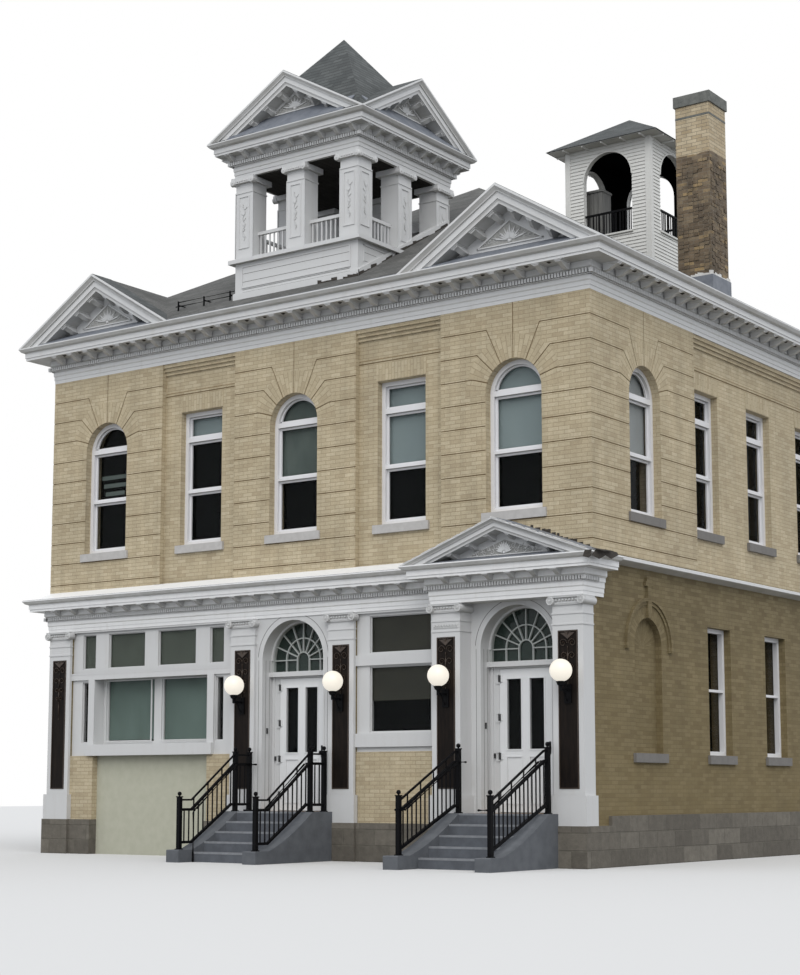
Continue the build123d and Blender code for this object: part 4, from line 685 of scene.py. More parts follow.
def palmette(name, place, mid, half, z0, z1, v):
    """Raised spray of leaves with scrolls that die out along its foot, on a darker ground that paints the shade between
    them.
    """
    Build(name + "_relief_ground", relief_shade, place).plate(
        [(mid - half, z0), (mid + half, z0), (mid, z1 + 0.03)], v - 0.005, v).done()
    relief = Build(name + "_relief", white_frieze, place)
    for k in range(-5, 6):
        reach = (z1 - z0) * (1.0 - 0.035 * abs(k))
        relief.leaf(mid, z0 + 0.02, math.radians(90 - 14 * k), 0.25 * reach, 0.70 * reach, 0.93 * reach, 0.014,
                    0.0056, v - 0.026, v)
    relief.knob([(0.0005, -0.036), (0.022, -0.032), (0.032, -0.012), (0.032, 0.0)], mid, v, z0 + 0.035, 10)
    for side in (-1, 1):
        for at, high, r0 in ((0.24, 0.125, 0.040), (0.33, 0.055, 0.046), (0.43, 0.105, 0.036), (0.53, 0.045, 0.040),
                             (0.63, 0.080, 0.028), (0.72, 0.036, 0.030), (0.82, 0.050, 0.020), (0.90, 0.025, 0.018)):
            turns = side * (1.2 if high > 0.05 else -1.2)
            relief.tube(spiral(mid + side * at * half, z0 + high, r0, 0.010, math.pi * 0.5, turns, v - 0.010, 10),
                        0.0085, 4)
            relief.plate([(mid + side * (at + du) * half, z0 + high + r0 * up)
                          for du, up in ((0.02, 0.6), (0.07, 1.3), (0.045, 0.4))], v - 0.016, v)
    relief.bar(mid, half, v - 0.014, v, z0 - 0.006, z0 + 0.008)
    relief.done()


def gable(name, place, mid, size, drop, v0, v1, back, shelf, panel, spots, replaced=(), relief=fan):
    """Raking cornice, tympanum, brackets, lead shelf and relief of one pediment.

    size is its half width, foot and rise, panel the half width, foot and top of its relief.
    """
    half, z0, rise = size
    slope = math.hypot(half, rise)
    c, s = half / slope, rise / slope
    t = drop * c
    deep = (v1 - v0) / 0.48
    wide = t / 0.273
    steps = [(0, 0), (0.036, 0), (0.052, 0.02), (0.085, 0.056), (0.104, 0.064), (0.104, 0.092), (0.205, 0.092),
             (0.205, 0.108), (0.235, 0.126), (0.273, 0.132)]
    body = Build(name + "_rakes", white, place)
    rake(body, mid, *size, [(w * wide, v0 + d * deep) for w, d in steps] + [(t, back), (0, back)])
    body.plate([(mid - half * 0.97, z0), (mid + half * 0.97, z0), (mid, z0 + rise * 0.97)], v1, v1 + 0.03)
    body.done(replaces=replaced)
    blocks = Build(name + "_blocks", white)
    for side in (1, -1):
        blocks.place = slanted(turned(place, 0.0, v1), mid, *size, side, t)
        for du in spots:
            bracket(blocks, (half - du - t * s) / c, 0.115 * wide, -0.004, 0.30 * deep, 0.0, 0.085 * wide)
    blocks.done()
    reach = half * (rise - drop) / rise
    Build(name + "_shelf", lead, place).beam(
        [(v0 + 0.008, z0 + 0.004), (v1, z0 + shelf + 0.006), (v1, z0)], mid - reach, mid + reach).done()
    relief(name, place, mid, *panel, v1)


def roofing(build, mid, size, v0, v1, lift=0.05):
    rake(build, mid, *size, [(-0.006, v0), (0.02, v0), (0.02, v1), (-0.006, v1)], lift)
    return build


MODI_TOP = FACING_TOP + 0.66 * 0.687
for name, place in SIDES.items():
    length, mid = (2 * HALF, 0.0) if name in ("front", "rear") else (DEPTH, DEPTH / 2)
    toothed("main", name, white, place, mid, length / 2, length + 0.10, 9.492, 9.562, -0.075)
    caps = Build("main_brackets_" + name, white, place)
    spots = spaced(length, 0.428)
    for u in spots:
        bracket(caps, mid + u, 0.108, -0.118, 0.40, MODI_TOP, 0.082)
    caps.done(replaces=["modillions"] if name == "front" else ())
    # rosettes in the shade between the brackets, in the near-black of painted shade
    stars = Build("main_rosettes_" + name, gap_dark, place)
    for a, b in zip(spots, spots[1:]):
        stars.lathe([(0.0, -0.022), (0.018, -0.02), (0.03, -0.008), (0.042, -0.002), (0.042, 0.0)],
                    mid + (a + b) / 2, -0.33, MODI_TOP, 8)
    stars.done(smooth=True)

# Cornice of the street front, which steps out at the portico
LOW_TOP = 4.250 + 0.66 * 0.630
STEP = HALF - PORCH_WIDE
porch = turned(front, 0.0, PORCH_OUT)
flat = 2 * HALF - PORCH_WIDE
for name, place, mid, spots in (("lower", front, (flat - 0.4) / 2 - HALF, spaced(flat - 0.4, 0.459)),
                                ("portico", porch, HALF - PORCH_WIDE / 2, spaced(PORCH_WIDE, 0.459 * 0.93))):
    caps = Build(name + "_brackets", white_low, place)
    for u in spots:
        bracket(caps, mid + u, 0.10, -0.088, 0.275, LOW_TOP, 0.062)
    caps.done()
teeth = Build("lower_dentils", white_low)
# dark strip behind the lower dentils: painted shade between the teeth
shade_line = Build("lower_dentil_gaps", gap_shade_soft)
# place, dentils' middle and length, fillet and its v, gap and its v, corner teeth
for place, mid, length, fillet, v, gap, gap_v, corners, corner_v in (
        (front, flat / 2 - HALF - 0.02, flat, (-HALF - 0.062, STEP - 0.062), -0.069,
         (-HALF - 0.064, STEP - 0.064), -0.066, (-HALF - 0.098,), -0.052),
        (porch, HALF - PORCH_WIDE / 2, 3.05, (STEP - 0.064, HALF + 0.064), -0.069,
         (STEP - 0.066, HALF + 0.066), -0.066, (STEP - 0.098, HALF + 0.052), -0.054),
        (right, -0.155, 0.44, (-0.388, 0.08), -0.068, (-0.39, 0.08), -0.0645, (), 0.0)):
    teeth.place = shade_line.place = place
    dentils(teeth, mid, length, 4.485, 4.547, 0.098, 0.052, 0.029)
    teeth.boxes([(a, a + 0.046) for a in corners], -0.098, corner_v, 4.484, 4.547)
    teeth.boxes([fillet], v, 0.0, 4.471, 4.4815)
    shade_line.boxes([gap], gap_v, 0.0, 4.481, 4.550)
teeth.done()
shade_line.done()


# Facing of the upper storey with its sunk joints
def arch_outline(mid, half, foot, spring, n=24):
    return [(mid - half, foot), (mid + half, foot)] + [
        (mid + half * math.cos(math.pi * k / n), spring + half * math.sin(math.pi * k / n)) for k in range(n + 1)]


# Joints beside the arch: where they leave the level, and where they end on the arch
FANNED = {1: (0.52, 0.245, 8.237), 2: (0.71, 0.40, 8.12), 3: (0.81, 0.51, 7.94)}
FACING = 0.016


def rusticated(name, place, u0, u1, mid):
    """Facing slab of one pavilion with its joints sunk into it, and painted shadow strips at the foot of the joints."""
    slab = Build(name, brick_wall, place).box(u0, u1, -FACING, 0.0, 5.0, FACING_TOP).done()
    opening = Build(name + "_cut", groove_shade, place)
    opening.plate(arch_outline(mid, WINDOW_HALF, WINDOW_FOOT, WINDOW_SPRING), -0.05, 0.03)
    joints = Build(name + "_cut2", groove_shade, place)
    shadow = Build(name + "_joints", groove_shade, place)
    w, v0, v1 = 0.017, -0.05, -0.002
    ground = (0.0164, -0.0035, 0.0)
    for k in range(1, 11):
        z = FACING_TOP - BAND * k
        reach = FANNED[k][0] if k in FANNED else 0.56 if z > WINDOW_FOOT + 0.005 else 0.0
        shadow.boxes([(u0, mid - reach), (mid + reach, u1)], *ground[1:], z - 0.0082, z + 0.0082)
        if k not in FANNED:
            joints.box(u0 - 0.05, u1 + 0.05, v0, v1, z - w / 2, z + w / 2)
            continue
        joints.boxes([(u0 - 0.05, mid - reach), (mid + reach, u1 + 0.05)], v0, v1, z - w / 2, z + w / 2)
        for s in (-1, 1):
            line = (mid + s * reach, z, mid + s * FANNED[k][1], FANNED[k][2])
            joints.strip(*line, w, v0, v1)
            shadow.strip(*line, *ground)
    joints.strip(mid, 9.3, mid, 8.28, w, v0, v1)
    shadow.strip(mid, 9.24, mid, 8.30, *ground)
    cutters = [opening.done(), joints.done()]
    for cutter in cutters:
        mod = slab.modifiers.new("cut", "BOOLEAN")
        mod.object = cutter
        mod.operation = "DIFFERENCE"
        mod.solver = "EXACT"
        mod.use_self = True
    dg = bpy.context.evaluated_depsgraph_get()
    mesh = bpy.data.meshes.new_from_object(slab.evaluated_get(dg))
    slab.modifiers.clear()
    slab.data = mesh
    for cutter in cutters:
        bpy.data.objects.remove(cutter, do_unlink=True)
    shadow.done()


rusticated("rustic_left", front, -HALF - FACING, -PAVILION, FRONT_ARCHES[0])
rusticated("rustic_middle", front, -MIDDLE, MIDDLE, 0.0)
rusticated("rustic_right", front, PAVILION, HALF + FACING, FRONT_ARCHES[2])
for name, place, ends in (("right", right, ("front", "rear")), ("left", left, ("rear", "front"))):
    rusticated("rustic_side_%s_%s" % (name, ends[0]), place, 0.0, SIDE_BAY[0], SIDE_ARCHES[0])
    rusticated("rustic_side_%s_%s" % (name, ends[1]), place, SIDE_BAY[1], DEPTH, SIDE_ARCHES[1])

# Recessed bays: string, upright lintel bricks
v = 0.100
for name, mids, bays in (("front", FRONT_FLATS, pair(0.0, MIDDLE, PAVILION)), ("right", SIDE_FLATS, [SIDE_BAY]),
                         ("left", SIDE_FLATS, [SIDE_BAY])):
    place = SIDES[name]
    Build("recess_trim_" + name, brick_wall, place).boxes(bays, v - 0.012, v, 8.640, 8.678).done()
    # painted shade: dark lines at the two grooves of the string
    lines = Build("recess_joints_" + name, groove_shade, place)
    for z in (8.630, 8.686):
        lines.boxes(bays, v - 0.004, v, z - 0.006, z + 0.006)
    lines.done()
    heads = Build("recess_lintels_" + name, brick_lintel, place)
    for mid in mids:
        heads.bar(mid, 0.53, v - 0.008, v, 8.288, 8.591)
    heads.done()

# Blinds, and sheets of painted shade for the rooms behind the windows
ARCH_V, FLAT_V = 0.270, 0.370
BLIND_FOOT, BLIND_TOP = 6.79, 8.25
# upper blinds, their tones standing in also for the sky's reflection in the panes: painted reflection in part
blinds = Build("upper_blinds", blind)
for mid, v, foot in ((FRONT_FLATS[0], FLAT_V, 7.80), (FRONT_FLATS[1], FLAT_V, BLIND_FOOT),
                     (FRONT_ARCHES[2], ARCH_V, BLIND_FOOT)):
    blinds.bar(mid, 0.48, v, v + 0.004, foot, BLIND_TOP)
blinds.done()
# The middle window's blind is darker to stand in for the half-reflected look of its upper panes, and three strips in
# the left window stand for the reflections in its panes: painted reflection.
dark_tone = Build("middle_blind", blind_mid).bar(0.0, 0.48, ARCH_V, ARCH_V + 0.004, BLIND_FOOT, BLIND_TOP)
for k in range(3):
    dark_tone.box(-5.05 + 0.05 * k, -4.30 - 0.07 * k, ARCH_V, ARCH_V + 0.004, 7.22 - 0.16 * k, 7.30 - 0.16 * k)
dark_tone.done()
UPPER_ROOM, LOWER_ROOM = (4.93, 9.85), (0.86, 4.62)
dark = Build("dark_linings", shade)
dark.bar(0.0, HALF - 0.46, 0.46, 0.47, *UPPER_ROOM).bar(0.0, HALF - 0.46, 0.46, 0.47, *LOWER_ROOM)
for dark.place in (right, left):
    dark.box(0.47, DEPTH - 0.46, 0.56, 0.57, *UPPER_ROOM).box(0.47, DEPTH - 0.46, 0.46, 0.47, *LOWER_ROOM)
dark.place = rear
dark.bar(0.0, HALF - 0.57, 0.46, 0.47, *UPPER_ROOM).bar(0.0, HALF - 0.47, 0.46, 0.47, *LOWER_ROOM)
dark.done()

# Mouldings and handles of the door leaves
DOORS = (("door_middle", DOOR_MIDS[0], "middle_leaf"), ("door_portico", DOOR_MIDS[1], "portico_leaf"))
LEAF_V = 0.270
for node, mid, body in DOORS:
    trim = Build(node + "_mouldings", white_leaf, body=body)
    rim = (LEAF_V - 0.010, LEAF_V + 0.002)
    for c in (mid - 0.2175, mid + 0.2175):
        for z0, z1 in ((1.865, 3.010), (0.995, 1.735)):
            trim.boxes(pair(c, 0.135, 0.157), *rim, z0 - 0.022, z1 + 0.022)
            trim.bar(c, 0.135, *rim, z0 - 0.022, z0).bar(c, 0.135, *rim, z1, z1 + 0.022)
    trim.done()
    knob = Build(node + "_handle", iron, body=body).bar(mid + 0.455, 0.020, LEAF_V - 0.008, LEAF_V, 1.78, 1.98)
    knob.knob([(0.0, -0.07), (0.022, -0.068), (0.03, -0.05), (0.012, -0.035), (0.012, 0.0)], mid + 0.455, LEAF_V, 1.86)
    knob.done(smooth=True)

# Pediments
for name, mid, replaced in zip(("pediment_left", "pediment_right"), PEDIMENT_MIDS, (["pediments"], ())):
    gable(name, front, mid, PEDIMENT, 0.320, -0.540, -0.060, 0.0, 0.240, (0.647, 10.235, 10.637), (0.20, 0.56, 0.92),
          replaced)
PORCH_MID = DOOR_MIDS[1]
gable("portico_pediment", front, PORCH_MID, PORCH, 0.190, -0.730, -0.330, 0.0, 0.090, (0.720, 4.985, 5.195),
      (0.20, 0.56, 0.92), ["portico_pediment"], palmette)
roofs = Build("pediment_roofs", cupola_dark)
for mid in PEDIMENT_MIDS:
    roofing(roofs, mid, PEDIMENT, -0.52, 0.0)
roofs.done()
roofing(Build("portico_roof", lead), PORCH_MID, PORCH, -0.715, -0.001).done()

# Cupola
TIE, BASE_TOP = 1.46, 10.845  # half width and top of the cupola's base board
for name, place in CUPOLA.items():
    gable("cupola_gable_" + name, place, 0.0, LOOKOUT, 0.270, -0.400, -0.020, 0.10, 0.385, (0.585, 13.580, 13.890),
          (0.19, 0.52, 0.86), ["cupola_pediments"] if name == "front" else ())
    roofing(Build("cupola_gable_roof_" + name, cupola_dark, place), 0.0, LOOKOUT, -0.385, 0.80, 0.03).done()
    toothed("cupola", name, white_top, place, 0.0, CUPOLA_HALF, 2.98, 12.797, 12.860, -0.076, step=0.054, wide=0.030)
    caps = Build("cupola_brackets_" + name, white_top, place)
    for k in range(-4, 5):
        bracket(caps, 0.358 * k, 0.10, -0.09, 0.30, 12.975, 0.075)
    for u in (-1.23, 0.0, 1.23):
        caps.frame(u - 0.128, u + 0.128, 11.19, 12.195, 0.020, -0.014, 0.0)
        vine = [(u + 0.030 * math.sin(k * 0.9), -0.006, 11.34 + 0.035 * k) for k in range(21)]
        caps.tube(vine, 0.0075, 4)
        for k in range(2, 20, 3):
            side = 1 if k % 2 else -1
            a, _, z = vine[k]
            caps.plate([(a + side * du, z + dz) for du, dz in (
                (0.0, 0.0), (0.03, 0.008), (0.062, 0.045), (0.02, 0.035))], -0.012, 0.0)
        for side in (-1, 1):
            caps.knob([(0.0005, -0.100), (0.018, -0.098), (0.024, -0.090), (0.044, -0.090), (0.058, -0.082),
                       (0.060, 0.02), (0.0005, 0.02)], u + side * 0.225, 0.0, 12.470, 12)
            caps.bar(u + side * 0.208, 0.008, -0.006, 0.0, 11.02, 12.25)
        for k in range(-2, 3):
            caps.knob([(0.0005, -0.088), (0.016, -0.084), (0.022, -0.070), (0.0005, -0.068)], u + 0.058 * k, 0.0,
                      12.478, 7)
    if name == "front":
        caps.frame(-1.27, 1.27, ROOF_Z + 0.19, BASE_TOP, 0.022, -0.014, 0.0)
        caps.bar(0.0, TIE + 0.002, -0.032, 0.0, ROOF_Z - 0.05, ROOF_Z + 0.10)
    elif name in ("right", "left"):
        s = 1 if name == "right" else -1
        line = [(s * -TIE, ROOF_Z - 0.07), (s * 1.40, ROOF_Z + (1.40 + CUPOLA_HALF) * PITCH - 0.07)]
        caps.plate(line + [(u, z + 0.17) for u, z in line[::-1]], -0.032, 0.0)
        for a, b, z in ((-1.27, -1.248, ROOF_Z + 0.30), (-1.27, -0.55, BASE_TOP - 0.022)):
            caps.plate([(s * a, z), (s * b, z), (s * b, BASE_TOP), (s * a, BASE_TOP)], -0.014, 0.0)
    caps.done()
# ragged strip along the cupola's foot: torn flashing drawn in the near-black of painted shade
torn = Build("cupola_foot_flashing", gap_dark, CUPOLA["right"])
ragged(torn, -1.45, 1.35, lambda u: ROOF_Z + (u + CUPOLA_HALF) * PITCH - 0.05, 0.13, -0.040, -0.002, 0.16, 0.75)
torn.place = CUPOLA["left"]
ragged(torn, -1.35, 1.45, lambda u: ROOF_Z + (CUPOLA_HALF - u) * PITCH - 0.05, 0.13, -0.040, -0.002, 0.16, 0.75)
torn.place = CUPOLA["front"]
ragged(torn, 0.55, 1.46, lambda u: ROOF_Z - 0.04, 0.085, -0.040, -0.002, 0.10, 0.85)
torn.done()
lid = Build("cupola_ceiling", ceiling).bar(0.0, 1.385, 0.045, 2.815, 12.543, 12.556)
for k in range(-11, 12):
    lid.bar(0.115 * k, 0.005, 0.045, 2.815, 12.540, 12.546)
lid.done()
# dark lines of painted shade for the grooves between the boards of the cupola's base
lines = Build("cupola_base_lines", gap_shade_soft, CUPOLA["front"])
for z in (ROOF_Z + 0.108, ROOF_Z + 0.160, 10.545, 10.700):
    lines.bar(0.0, 1.25, -0.003, 0.0, z, z + 0.006)
lines.place = CUPOLA["right"]
for z in (10.545, 10.700):
    lines.box(-1.25, -1.25 + (z - ROOF_Z - 0.25) / PITCH, -0.003, 0.0, z, z + 0.006)
lines.done()

# Snow rails on the front slope, left of the cupola
guard = Build("snow_rails", iron)
v = 0.05
z = EAVES + (OVERHANG + v) * PITCH
for lift in (0.085, 0.165):
    guard.tube([(-3.05 + lift, v, z + lift), (-1.49, v, z + lift)], 0.010)
for u in (-2.90, -2.25, -1.60):
    guard.beam([(v - 0.010, z - 0.006), (v + 0.012, z + 0.006), (v + 0.012, z + 0.185), (v - 0.010, z + 0.185)],
               u - 0.012, u + 0.012)
    guard.beam([(v + 0.01, z + 0.10), (v + 0.01, z + 0.12), (v + 0.20, z + 0.125), (v + 0.20, z + 0.105)],
               u - 0.008, u + 0.008)
guard.done()

# Turret: clapboards, corner boards, rafter tails, a lining of painted shade and the cabinet inside
ARCH_R, ARCH_FOOT, ARCH_Z, TURRET_TOP = 0.5825, 12.860, 14.097, 14.84


def arch_half(z):
    """Half the opening's width at height z, 0 below and above it."""
    if z < ARCH_FOOT:
        return 0.0
    return ARCH_R if z < ARCH_Z else math.sqrt(max(ARCH_R ** 2 - (z - ARCH_Z) ** 2, 0.0))


for name, place in TURRET.items():
    boards = Build("turret_boards_" + name, grey_boards, place)
    step = (TURRET_TOP - 11.65) / 42
    for k in range(42):
        z0 = 11.65 + step * k
        cuts = [0.0, 0.5, 1.0] if z0 + step > ARCH_Z - 0.05 else [0.0, 1.0]
        for c0, c1 in zip(cuts, cuts[1:]):
            (za, va), (zb, vb) = ((z0 + step * c, -0.020 + 0.016 * c) for c in (c0, c1))
            ha, hb = arch_half(za), arch_half(zb)
            if za < ARCH_FOOT < zb:
                ha = hb = 0.0
            for edge, ea, eb in [(-0.94, -ha, -hb), (0.94, ha, hb)] if ha or hb else [(-0.94, 0.94, 0.94)]:
                boards.prism([(edge, va, za), (edge, 0.001, za), (edge, 0.001, zb), (edge, vb, zb)],
                             [(ea, va, za), (ea, 0.001, za), (eb, 0.001, zb), (eb, vb, zb)])
    boards.done()
    trim = Build("turret_trim_" + name, grey_boards, place)
    trim.boxes(pair(0.0, 0.908, 1.028), -0.026, 0.0, 11.6, TURRET_TOP)
    trim.bar(0.0, 0.60, -0.05, 0.11, 12.835, 12.870)
    for k in range(-2, 3):
        trim.bar(0.46 * k, 0.014, -0.29, -0.01, 14.796, 14.834)
    trim.bar(0.0, 1.30 if name in ("front", "rear") else 1.004, -0.295, 0.0, 14.832, 14.838)
    trim.band(0.0, ARCH_Z, ARCH_R - 0.012, ARCH_R + 0.012, -0.028, 0.0, n=28).done()
    lining = Build("turret_lining_" + name, shade, place)
    outer = arch_outline(0.0, ARCH_R + 0.004, ARCH_FOOT + 0.004, ARCH_Z, 20)
    for side in (-1, 1):
        pts = sorted([(side * u, z) for u, z in outer if side * u >= -1e-6], key=lambda q: q[1])
        for (ua, za), (ub, zb) in zip(pts, pts[1:]):
            lining.plate([(side * ua, za), (side * 0.893, za), (side * 0.893, zb), (side * ub, zb)], 0.112, 0.118)
    lining.bar(0.0, 0.893, 0.112, 0.118, ARCH_Z + ARCH_R + 0.002, 14.90).done()
Build("turret_ceiling", shade).post(TURRET_X, TURRET_Y, 0.89, TURRET_TOP, 14.86).done()
# the turret's cabinet in the darkened copy of the board paint: painted shade
room = Build("turret_cabinet", cabinet_shaded)
for k in range(4):
    room.box(1.24 + 0.105 * k, 1.335 + 0.105 * k, 8.42, 8.46, 12.80, 14.02)
room.box(1.24, 1.655, 8.46, 8.80, 12.80, 14.00).box(1.22, 1.675, 8.39, 8.82, 14.00, 14.05).done()
net = Build("turret_bars", iron)
for net.place in (TURRET["front"], TURRET["right"]):
    for k in range(1, 15):
        net.bar(-0.56 + 0.08 * k, 0.008, 0.047, 0.063, 12.89, 13.345)
net.done()

# Chimney: flashing box, its torn white edge and the drip under the cap
foot_z = EAVES + (HALF + OVERHANG - STACK_X - STACK_HALF) * PITCH  # the roof at its outer face
flash = Build("chimney_flashing", lead)
for name, flash.place in STACK.items():
    flash.bar(0.0, 0.385 if name in ("front", "rear") else 0.349, -0.035, 0.0, foot_z - 0.15, foot_z + 0.30)
flash.done()
edge = Build("chimney_flashing_edge", flash_white)
for edge.place in STACK.values():
    ragged(edge, -0.38, 0.38, lambda u: foot_z + 0.29, 0.10, -0.022, -0.001, 0.08, 0.8)
edge.done()
rough = Build("chimney_rough_faces", brick_stack)
for rough.place in STACK.values():
    for k in range(150):
        z = foot_z + 0.35 + 0.0677 * rng.randrange(0, 33)
        u = -0.32 + 0.106 * rng.randrange(0, 6)
        rough.box(u, u + 0.098, -0.006 - 0.010 * rng.random(), 0.0, z, z + 0.058)
rough.done()
drip = Build("chimney_corbel", cap_stone)
for drip.place in STACK.values():
    drip.bar(0.0, 0.352, -0.004, 0.0, 13.845, 13.880)
drip.done()

# Lead along the cornice tops, torn flashing and paint, and painted shadow beside the portico
tops = Build("cornice_lead", lead)
tops.boxes([(-HALF - 0.53, -6.60), (-2.70, 2.70), (6.60, HALF + 0.53)], -0.538, -0.45, EAVES, EAVES + 0.008)
tops.box(-HALF - 0.38, 2.80, -0.398, -0.30, LOW_EAVES - 0.001, LOW_EAVES + 0.006)
for tops.place in (right, left):
    tops.box(-0.5, DEPTH + 0.5, -0.536, -0.45, EAVES, EAVES + 0.008)
tops.done()
torn = Build("lower_cornice_flashing", lead)
ragged(torn, -HALF, 2.84, lambda u: 4.885, 0.15, -0.026, -0.002, 0.30, 0.5)
torn.done()
# stepped flashing beside the portico's rake, drawn as the dark shadow it casts on the brick: painted shadow
steps = Build("portico_step_flashing", gap_dark)
u = 4.98
while u < 6.05:
    b = u + rng.uniform(0.04, 0.10)
    z = LOW_EAVES + PORCH[2] * (1 - (u - PORCH_MID) / PORCH[0])
    steps.box(u, b, -0.026, -0.012, z - 0.10, z + 0.004 + 0.040 * rng.random())
    u = b + 0.05 * rng.random()
steps.done()
pale = Build("portico_torn_paint", flash_white)
for side, v, low, uneven, sizes, gaps in ((-1, -0.738, 0.184, 0.008, (0.05, 0.16), (0.01, 0.07)),
                                          (1, -0.736, 0.183, 0.004, (0.10, 0.30), (0.02, 0.10))):
    pale.place = slanted(front, PORCH_MID, *PORCH, side, 0.1786)
    s = 0.12
    while s < 1.9:
        b = s + rng.uniform(*sizes)
        pale.box(s, b, v, -0.70, 0.176, low + uneven * rng.random())
        s = b + rng.uniform(*gaps)
pale.done()
# torn corner of the portico's cornice: its hollow drawn as painted shade
hole = Build("portico_torn_corner", gap_dark, turned(right, 0.0, -0.40))
hole.plate([(-0.72, 4.80), (-0.50, 4.76), (-0.30, 4.84), (-0.12, 4.80), (0.10, 4.88), (0.05, 4.92), (-0.30, 4.93),
            (-0.60, 4.90)], -0.012, 0.004)
hole.place = front
hole.plate([(6.36, 4.79), (6.46, 4.76), (6.51, 4.80), (6.515, 4.885), (6.40, 4.885)], -0.742, -0.726)
hole.prism([(6.50, -0.70, 4.91), (6.62, -0.55, 4.87), (6.60, -0.20, 4.90), (6.48, -0.15, 4.93)],
           [(6.50, -0.70, 4.92), (6.62, -0.55, 4.885), (6.60, -0.20, 4.91), (6.48, -0.15, 4.94)])
hole.done()

# Street front: capitals with their scrolls and beads, carved panels, lamps
MIDS = (-5.770, -1.100, 1.130, 3.515, 5.835)
OUTS = (0.060, 0.060, 0.060, 0.330, 0.330)
VOLUTE_Z, GARLAND_Z = 4.1675, 3.882
orders = Build("capital_relief", white_low)
panels = Build("panel_relief", carved_high)
for mid, out in zip(MIDS, OUTS):
    f = -out
    v = f - 0.07
    for side in (-1, 1):
        c = mid + side * 0.28
        orders.knob([(0.0005, -0.022), (0.014, -0.020), (0.018, -0.010), (0.048, -0.006), (0.054, -0.014),
                     (0.066, -0.012), (0.070, 0.004), (0.0005, 0.006)], c, v, VOLUTE_Z, 16)
        orders.tube(spiral(c, VOLUTE_Z, 0.052, 0.016, math.pi / 2, side * 1.75, v - 0.010, 20), 0.006, 4)
        for q in (0.02, 0.05):
            orders.knob([(0.0005, 0.0), (0.0735, 0.0), (0.0735, 0.014), (0.0005, 0.014)], c, v + q, VOLUTE_Z, 16)
    for k in range(-3, 4):
        orders.knob([(0.0005, -0.056), (0.016, -0.052), (0.026, -0.030), (0.028, -0.02), (0.0005, -0.018)],
                    mid + 0.060 * k, f, 4.178, 8)
    for k in range(-12, 13):
        orders.knob([(0.0005, -0.036), (0.008, -0.033), (0.009, -0.02), (0.0005, -0.018)], mid + 0.0215 * k, f,
                    4.122, 5)
    orders.bar(mid, 0.325, v - 0.006, v + 0.01, 4.236, 4.250)
    orders.bar(mid, 0.29, f - 0.030, f, 1.105, 1.120)
    if out > 0.1 and mid < 5:
        z = GARLAND_Z
        orders.tube([(mid - 0.24, f - 0.006, z), (mid + 0.24, f - 0.006, z)], 0.006, 5)
        for k in range(-4, 5):
            a = mid + 0.056 * k
            orders.knob([(0.0005, -0.024), (0.014, -0.020), (0.020, 0.0), (0.0005, 0.002)], a, f, z, 7)
            for up in (-1, 1):
                for side in (-1, 1):
                    orders.plate([(a + side * du, z + up * dz) for du, dz in (
                        (0.012, 0.0), (0.028, 0.022), (0.012, 0.046), (0.002, 0.022))], f - 0.012, f)
    panels.frame(mid - 0.176, mid + 0.176, 1.226, 3.694, 0.014, f - 0.012, f)
    panels.tube([(mid, f - 0.008, z) for z in (2.55, 2.8, 3.05, 3.3, 3.45)], [0.006, 0.010, 0.013, 0.012, 0.008], 5)
    for side in (-1, 1):
        for zc, r0 in ((3.50, 0.070), (3.30, 0.060), (3.12, 0.048), (2.96, 0.036)):
            panels.tube(spiral(mid + side * (r0 + 0.014), zc, r0, 0.012, math.pi if side > 0 else 0.0, side * -1.4,
                               f - 0.010, 18), 0.009, 5)
        panels.plate([(mid, 3.56), (mid + side * 0.05, 3.60), (mid + side * 0.13, 3.66), (mid + side * 0.05, 3.66),
                      (mid, 3.62)], f - 0.014, f)
    for k in (-1, 0, 1):
        panels.plate([(mid, 3.62), (mid + 0.03 * k, 3.65), (mid + 0.06 * k, 3.68), (mid + 0.01 + 0.02 * k, 3.67)],
                     f - 0.012, f)
orders.done()
panels.done()

lamps = Build("lamp_scrolls", iron)
foot = 3.057 - 0.178
for mid, out in zip(MIDS[1:], OUTS[1:]):
    y = -out - 0.225
    lamps.tube([(mid, -out - 0.02, foot - 0.30), (mid, -out - 0.07, foot - 0.26), (mid, -out - 0.13, foot - 0.15),
                (mid, y + 0.03, foot - 0.10), (mid, y, foot - 0.06)], [0.012, 0.016, 0.016, 0.014, 0.02])
    lamps.tube([(mid, -out - 0.03, foot - 0.05)] + [
        (mid, -out - 0.075 + 0.045 * math.cos(0.4 * k), foot - 0.075 + 0.045 * math.sin(0.4 * k)) for k in range(12)],
        0.009, 5)
    lamps.lathe([(0.0005, -0.075), (0.03, -0.07), (0.055, -0.045), (0.072, -0.012), (0.078, 0.006), (0.0005, 0.004)],
                mid, y, foot, 14)
    lamps.ball(mid, y, foot - 0.125, 0.022, 8)
lamps.done()

# Door arches, jambs and what is fixed to them
arches = Build("door_arch_mouldings", white_low)
